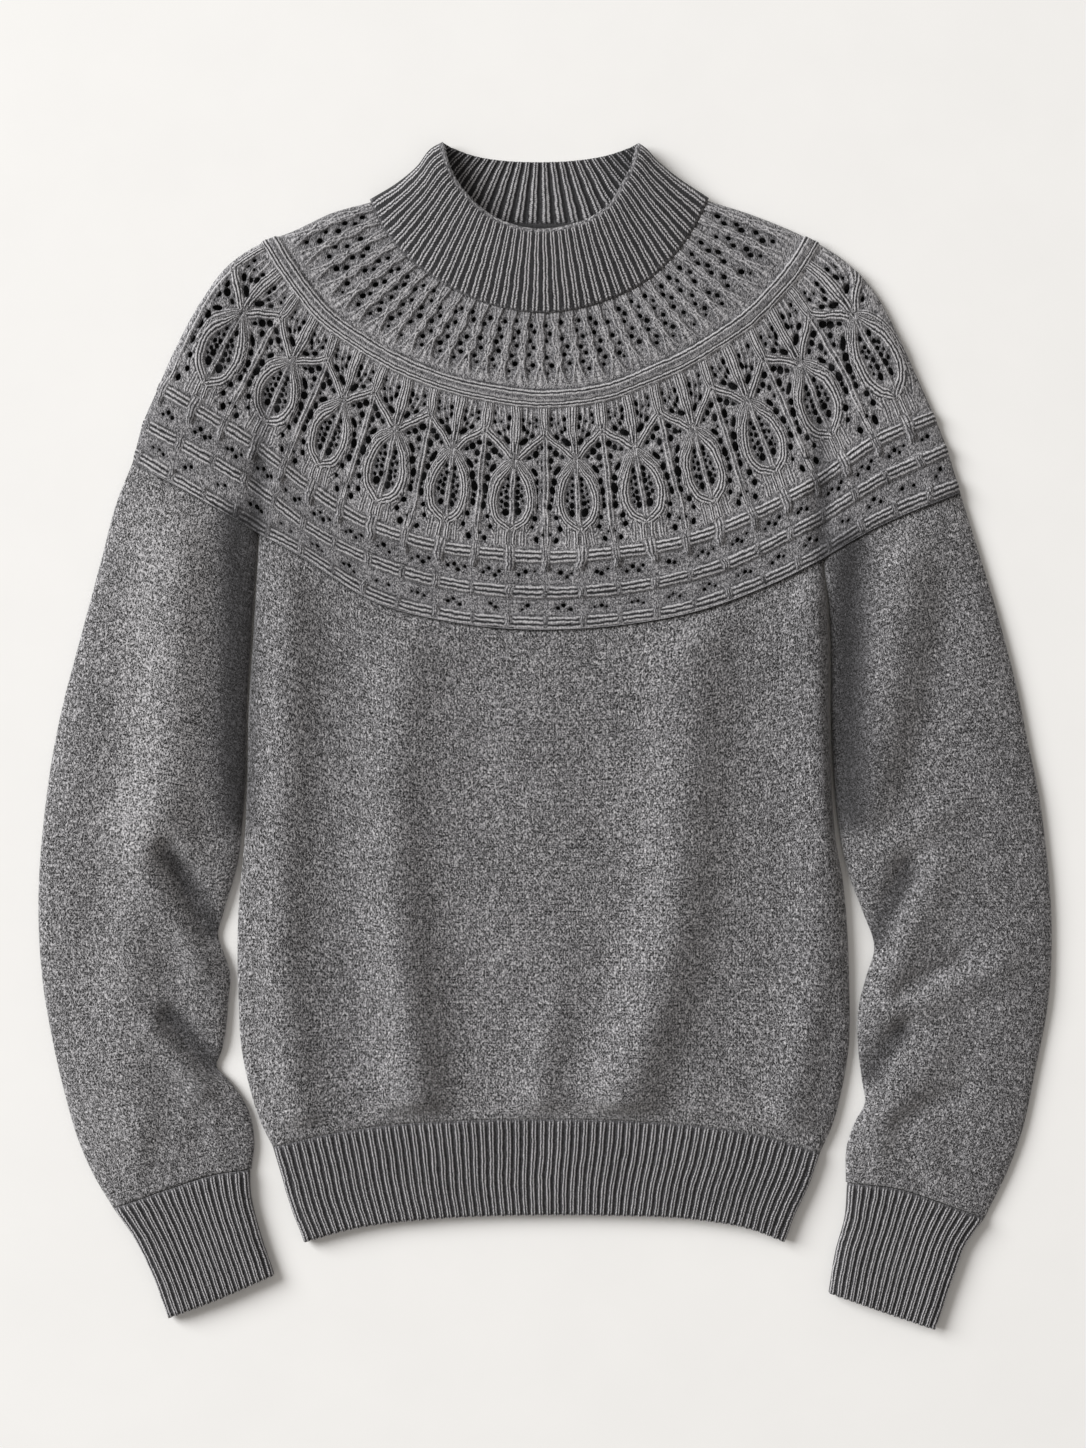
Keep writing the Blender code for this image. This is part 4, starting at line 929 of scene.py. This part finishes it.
def knit_material(name, brushed, tone, plain_tone, contrast, wale, fuzz, lines):
    """Heathered wool: V stitches in wales under brushed fibres, and raised strands where the marks say so."""
    sharpness, brightness, ground, furrow = lines
    material, g, shader = new_material(
        name, Roughness=0.92, Specular_IOR_Level=0.2, Sheen_Weight=fuzz, Sheen_Roughness=0.55)
    u, v, _ = g.split(g.attribute("knit").outputs["Vector"])
    line, along, mask = g.split(g.attribute("strand").outputs["Vector"])
    shade = g.attribute("shade").outputs["Fac"]

    # plain cloth: legs of the stitches lean left and right of each wale, and fibres wander over them
    bend = g.noise(g.stretched(u, v, 0.16, 0.11), 2.0)
    u_bent = g.plus(u, g.times(g.minus(bend, 0.5), 6.0))
    half = g.minus(g.math("FRACT", g.math("DIVIDE", u_bent, wale)), 0.5)
    side = g.math("SIGN", half)
    lean = g.times(side, 0.5)
    across, down = g.plus(u, g.times(v, lean)), g.minus(v, g.times(u, lean))
    legs = g.noise(g.stretched(across, down, 0.85, 0.36, side), 1.5, 0.6)
    fibres = []
    for u_scale, v_scale, level, sharp in ((0.44, 0.34, 5.0, 11.0), (0.70, 0.56, 9.0, 9.5)):
        curl = g.minus(g.noise(g.stretched(u, v, u_scale, v_scale, level)), 0.5)
        fibres.append(g.minus(1.0, g.times(g.math("ABSOLUTE", curl), sharp), clamp=True))
    fine = g.noise(g.combine(u, v, 3.0), 2.0, 0.6, 1.1)
    plain = g.plus(g.times(g.remap(legs, 0.32, 0.68), 0.42), g.times(g.math("MAXIMUM", *fibres), brushed))
    plain = g.plus(plain, g.times(g.remap(fine, 0.3, 0.7), 0.65 - 0.5 * brushed))
    # each wale's edge lies lower, and the ramp paints it darker, as shade
    wale_edge = g.math("POWER", g.times(g.math("ABSOLUTE", half), 2.0), 4.0)
    plain = g.minus(plain, g.times_plus(wale_edge, 0.12, plain_tone))

    # strands: a bright round line each, made of slanted stitches, with a dotted furrow between, lower and painted
    # dark as shade
    wobble = g.times(g.minus(g.noise(g.combine(u, v, 8.0), scale=0.3), 0.5), 0.55)
    line = g.plus(line, wobble)
    round_line = g.math("ABSOLUTE", g.math("SINE", g.times(line, math.pi)))
    way = g.times_plus(g.math("MODULO", g.math("FLOOR", line), 2.0), 2.0, -1.0)  # turns from line to line
    slant = g.times(g.times(g.minus(g.math("FRACT", line), 0.5), way), 1.2)
    step = g.plus(g.math("DIVIDE", along, STITCH), slant)
    stitch = g.times_plus(g.math("COSINE", g.times(step, 2 * math.pi)), 0.5, 0.5)
    beads = g.times(g.math("POWER", round_line, sharpness), g.times_plus(stitch, 0.45, 0.55))
    low = g.math("POWER", g.minus(1.0, round_line), 2.5)
    dots = g.times(low, g.times_plus(stitch, 0.6 * furrow, 0.7 * furrow))
    fluff = g.remap(fine, 0.3, 0.7, -0.24, 0.24)
    corded = g.plus(g.minus(g.times_plus(beads, brightness, ground), dots), fluff)

    height = g.node("ShaderNodeMix", Factor=mask, A=plain, B=corded).outputs["Result"]
    cloudy = g.noise(g.combine(u, v, 20.0), 2.0, 0.5, 0.03)
    level = g.times_plus(g.minus(height, 0.5), contrast, tone)
    level = g.plus(level, g.times(g.minus(cloudy, 0.5), 0.12))
    # the lower the knit, the darker its colour: painted shade in its hollows over the heathered yarn's own dark
    # and light; the marks' shade adds their painted shade and highlight
    ramp = g.node("ShaderNodeValToRGB", Fac=g.times(level, shade, clamp=True))
    ramp.color_ramp.interpolation = "EASE"
    stops = ramp.color_ramp.elements
    for index, (place, *colour) in enumerate(WOOL):
        stop = stops[index] if index < 2 else stops.new(place)  # a ramp is made with two stops
        stop.position, stop.color = place, (*colour, 1)
    g.put(shader.inputs["Base Color"], ramp.outputs[0])
    bump = g.node("ShaderNodeBump", Strength=0.8, Distance=0.7 * MM, Height=g.times(height, shade))
    g.put(shader.inputs["Normal"], bump.outputs[0])
    return material


def paper_material(name, colour):
    """The pale floor, with a faint grain."""
    material, g, shader = new_material(name, Roughness=0.7, Specular_IOR_Level=0.25)
    grain = g.noise(g.node("ShaderNodeTexCoord").outputs["Object"], 3.0, 0.6, 14.0)
    mix = g.node("ShaderNodeMix", Factor=g.remap(grain, 0.35, 0.65))
    mix.data_type = "RGBA"
    mix.inputs["A"].default_value = (*[c * 0.985 for c in colour], 1)
    mix.inputs["B"].default_value = (*colour, 1)
    g.put(shader.inputs["Base Color"], mix.outputs["Result"])
    return material


def make_stage():
    """Pale floor, soft light from the upper left, and the camera straight above."""
    mesh = bpy.data.meshes.new("floor")
    corners = ((-1, -1), (1, -1), (1, 1), (-1, 1))
    mesh.from_pydata([(x * FLOOR_HALF, y * FLOOR_HALF, FLOOR_LEVEL) for x, y in corners], [], [(0, 1, 2, 3)])
    floor = add_object("floor", mesh)
    mesh.materials.append(paper_material("floor_paper", FLOOR_COLOUR))

    lamp = bpy.data.lights.new("key_light", "AREA")
    lamp.shape = "DISK"
    lamp.size, lamp.energy, lamp.color = 9.5, 2600.0, (1.0, 0.995, 0.985)
    key = add_object("key_light", lamp)
    key.location = KEY_PLACE
    key.rotation_euler = (-Vector(KEY_PLACE)).to_track_quat("-Z", "Y").to_euler()
    world = bpy.data.worlds.new("studio")
    world.use_nodes = True
    sky = world.node_tree.nodes["Background"].inputs
    sky["Color"].default_value, sky["Strength"].default_value = (1.0, 0.945, 0.885, 1), 0.335
    scene = bpy.context.scene
    scene.world = world
    scene.view_settings.view_transform = "Standard"

    lens = bpy.data.cameras.new("camera")
    lens.lens, lens.sensor_width = LENS_MM, SENSOR_MM
    lens.clip_start, lens.clip_end = 0.1, 20.0
    scene.camera = add_object("camera", lens)
    scene.camera.location = (*PICTURE_MIDDLE, PICTURE_LEVEL + PICTURE_HEIGHT * LENS_MM / SENSOR_MM)


def make_collar(rib_knit):
    front = Patch(COLLAR_SEAM, COLLAR_FRONT_EDGE, COLLAR_LEFT, COLLAR_RIGHT, 0.2)
    back = Patch(COLLAR_BACK_SEAM, COLLAR_BACK_EDGE, COLLAR_LEFT, COLLAR_RIGHT, 0.2)

    def height(plan, v):
        rise = v**0.8 - 0.15 * ease(v, 0.9, 1.0)
        return COLLAR_SEAM_TOP + (COLLAR_EDGE_TOP - COLLAR_SEAM_TOP) * rise + 0 * plan[..., 0]

    return tube(
        "collar_knit", "collar", (front, back), 30,
        (np.linspace(0, 1, 10 * COLLAR_RIBS + 1), np.linspace(0, 1, 10 * COLLAR_BACK_RIBS + 1)),
        (COLLAR_TURN, COLLAR_TURN), (COLLAR_SEAM_CREASE, COLLAR_EDGE_CREASE), height,
        # 1.22 is the painted highlight on the front's rolled edge
        (COLLAR_RIBS, COLLAR_BACK_RIBS), rib_knit, COLLAR_FURROW, COLLAR_LIFT, 0.4, 1.22,
    )


def make_yoke(lace_knit):
    gap = 0.0005  # between two of the front's pieces, in levels
    first, second = 1 + JOIN / 110.5, 2 - JOIN / 110.5
    pieces = [
        yoke_piece(name, spans, counts, cell, lace_knit)
        for name, spans, counts, cell in (
            ("yoke_band_knit", ((0, 1), (0, first - gap)), (13 * BAND_COLUMNS, 64), 0.95),
            ("yoke_lace_left_knit", ((0, 0.5), (first, second)), (23 * LACE_REPEATS, 102), 1.03),
            ("yoke_lace_right_knit", ((0.5, 1), (first, second)), (23 * LACE_REPEATS, 102), 1.03),
            ("yoke_welts_knit", ((0, 1), (second + gap, YOKE_END)), (54 * LACE_REPEATS, 58), 0.95),
        )
    ]
    rows = np.concatenate([np.linspace(0, 1, 9)[:-1], np.linspace(1, 2, 15)[:-1], np.linspace(2, YOKE_END, 9)])
    s, v = np.meshgrid(np.linspace(0, 1, 141), rows / YOKE_END)
    seam, edge = smooth_path(COLLAR_BACK_SEAM), LEVELS[-1]
    seam[:, 1] -= SEAM_GAP / 2
    left, right = at(smooth_path(SHOULDER_LEFT), v), at(smooth_path(SHOULDER_RIGHT), v)
    share, across = v[..., None], s[..., None]
    corners = (1 - share) * ((1 - across) * seam[0] + across * seam[-1])
    corners = corners + share * ((1 - across) * edge[0] + across * edge[-1])
    plan = (1 - share) * at(seam, s) + share * at(edge, s) + (1 - across) * left + across * right - corners
    level, _ = turned_over(plan, 0.0, CREASE - SEAM_GAP / 2)
    base = np.concatenate([plan, level[..., None]], -1)
    inner = base + SHELL * face_normals(base, False)
    marks = no_strands(s.shape)
    marks["knit"] = np.concatenate([plan + (BACK_KNIT, 0), 0 * plan[..., :1]], -1)
    triangles = grid_triangles(*s.shape)[:, ::-1]
    # the back's inner face, seen through the lace's holes, is painted darker by inner_shade 0.3, as shade
    pieces.append(add_shell(
        "yoke_back_knit", "yoke_back", base, inner, triangles, marks, lace_knit, 0.3))
    return pieces


def off_seams(v):
    """How much of a fold's height is left at v: folds run out where a piece is sewn to the next."""
    return ease(v, 0.0, 0.07) * (1 - ease(v, 0.95, 1.0))


def make_body(heather_knit):
    patch = Patch(YOKE_EDGE_BODY, HEM_LINE, BODY_LEFT, BODY_RIGHT)
    turns = (BODY_TURN, BODY_TURN)
    pieces = []
    for node, cell, rows, out in (("body_front", 2.5, 150, 1), ("body_back", 5.0, 60, -1)):
        s, v = stations(patch, turns, cell)[None, :], patch.rows(rows)[:, None]
        plan = patch.plan(s, v)
        shape = plan.shape[:2]
        top = np.zeros(shape)
        if out > 0:
            top = BODY_TOP + (fold_height(BODY_FOLDS, plan) + 0.5 * swell(plan, 60, 3)) * off_seams(v)
            top = np.maximum(top + (HEM_TOP - BODY_TOP) * ease(v, 0.9, 1.0), LOWEST_TOP)
        base, _ = layer(patch, s, v, turns, CREASE + out * SEAM_GAP / 2, top)
        inner = base - SHELL * out * face_normals(base, False)
        marks = no_strands(shape)
        across = (s - 0.5) * patch.span(v) + (0 if out > 0 else BACK_KNIT)
        marks["knit"] = np.stack([across, np.broadcast_to(v * patch.length, shape), 0 * across], -1)
        triangles = grid_triangles(*shape)[:, ::out]
        pieces.append(add_shell(
            node + "_knit", node, base, inner, triangles, marks, heather_knit))
    return pieces


def make_sleeve(node, sides, turns, folds, seed, heather_knit):
    patch = Patch(*sides)

    def height(plan, v):
        top = SLEEVE_TOP + (SLEEVE_END_TOP - SLEEVE_TOP) * ease(v, 0.55, 1.0)
        wave = fold_height(folds, plan) + 0.6 * swell(plan, 55, seed)
        return np.maximum(top + wave * off_seams(v), LOWEST_TOP)

    return tube(
        node + "_knit", node, (patch, patch), 200,
        (stations(patch, turns, 2.4), stations(patch, turns, 5.0)), turns, (CREASE, CREASE), height, None,
        heather_knit,
    )


def make_ribbed_end(node, sides, ribs, turn, top, rows, lift, rib_knit):
    patch = Patch(*sides)
    return tube(
        node + "_knit", node, (patch, patch), rows,
        (np.linspace(0, 1, 8 * ribs + 1), stations(patch, (turn, turn), 6.0)), (turn, turn), (CREASE, CREASE),
        lambda plan, v: top + 0.4 * swell(plan, 50, 9), (ribs, ribs), rib_knit, lift=lift, edge_bumps=0.45,
    )


def main():
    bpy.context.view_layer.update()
    make_stage()
    heather_knit, lace_knit, rib_knit = (knit_material(name, *numbers) for name, numbers in KNITS.items())
    pieces = [
        make_collar(rib_knit), *make_yoke(lace_knit), *make_body(heather_knit),
        make_sleeve(
            "sleeve_left", (SLEEVE_LEFT_YOKE, SLEEVE_LEFT_CUFF, SLEEVE_LEFT_OUTER, SLEEVE_LEFT_INNER),
            (SLEEVE_OUTER_TURN, SLEEVE_INNER_TURN), SLEEVE_LEFT_FOLDS, 31, heather_knit),
        make_sleeve(
            "sleeve_right", (SLEEVE_RIGHT_YOKE, SLEEVE_RIGHT_CUFF, SLEEVE_RIGHT_INNER, SLEEVE_RIGHT_OUTER),
            (SLEEVE_INNER_TURN, SLEEVE_OUTER_TURN), SLEEVE_RIGHT_FOLDS, 32, heather_knit),
        make_ribbed_end(
            "hem_rib", (HEM_LINE, HEM_EDGE, HEM_LEFT, HEM_RIGHT),
            HEM_RIBS, HEM_TURN, HEM_TOP, 26, 0.0, rib_knit),
        make_ribbed_end(
            "cuff_left", (CUFF_LEFT_LINE, CUFF_LEFT_EDGE, CUFF_LEFT_OUTER, CUFF_LEFT_INNER),
            CUFF_RIBS, CUFF_TURN, CUFF_TOP, 32, 0.08, rib_knit),
        make_ribbed_end(
            "cuff_right", (CUFF_RIGHT_LINE, CUFF_RIGHT_EDGE, CUFF_RIGHT_INNER, CUFF_RIGHT_OUTER),
            CUFF_RIBS, CUFF_TURN, CUFF_TOP, 32, 0.08, rib_knit),
    ]


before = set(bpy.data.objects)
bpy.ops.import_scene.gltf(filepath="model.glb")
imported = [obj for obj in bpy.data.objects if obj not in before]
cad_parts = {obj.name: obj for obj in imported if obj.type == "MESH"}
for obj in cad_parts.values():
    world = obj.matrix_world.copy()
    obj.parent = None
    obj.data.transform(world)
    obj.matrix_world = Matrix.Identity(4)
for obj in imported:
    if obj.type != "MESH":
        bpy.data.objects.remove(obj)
main()
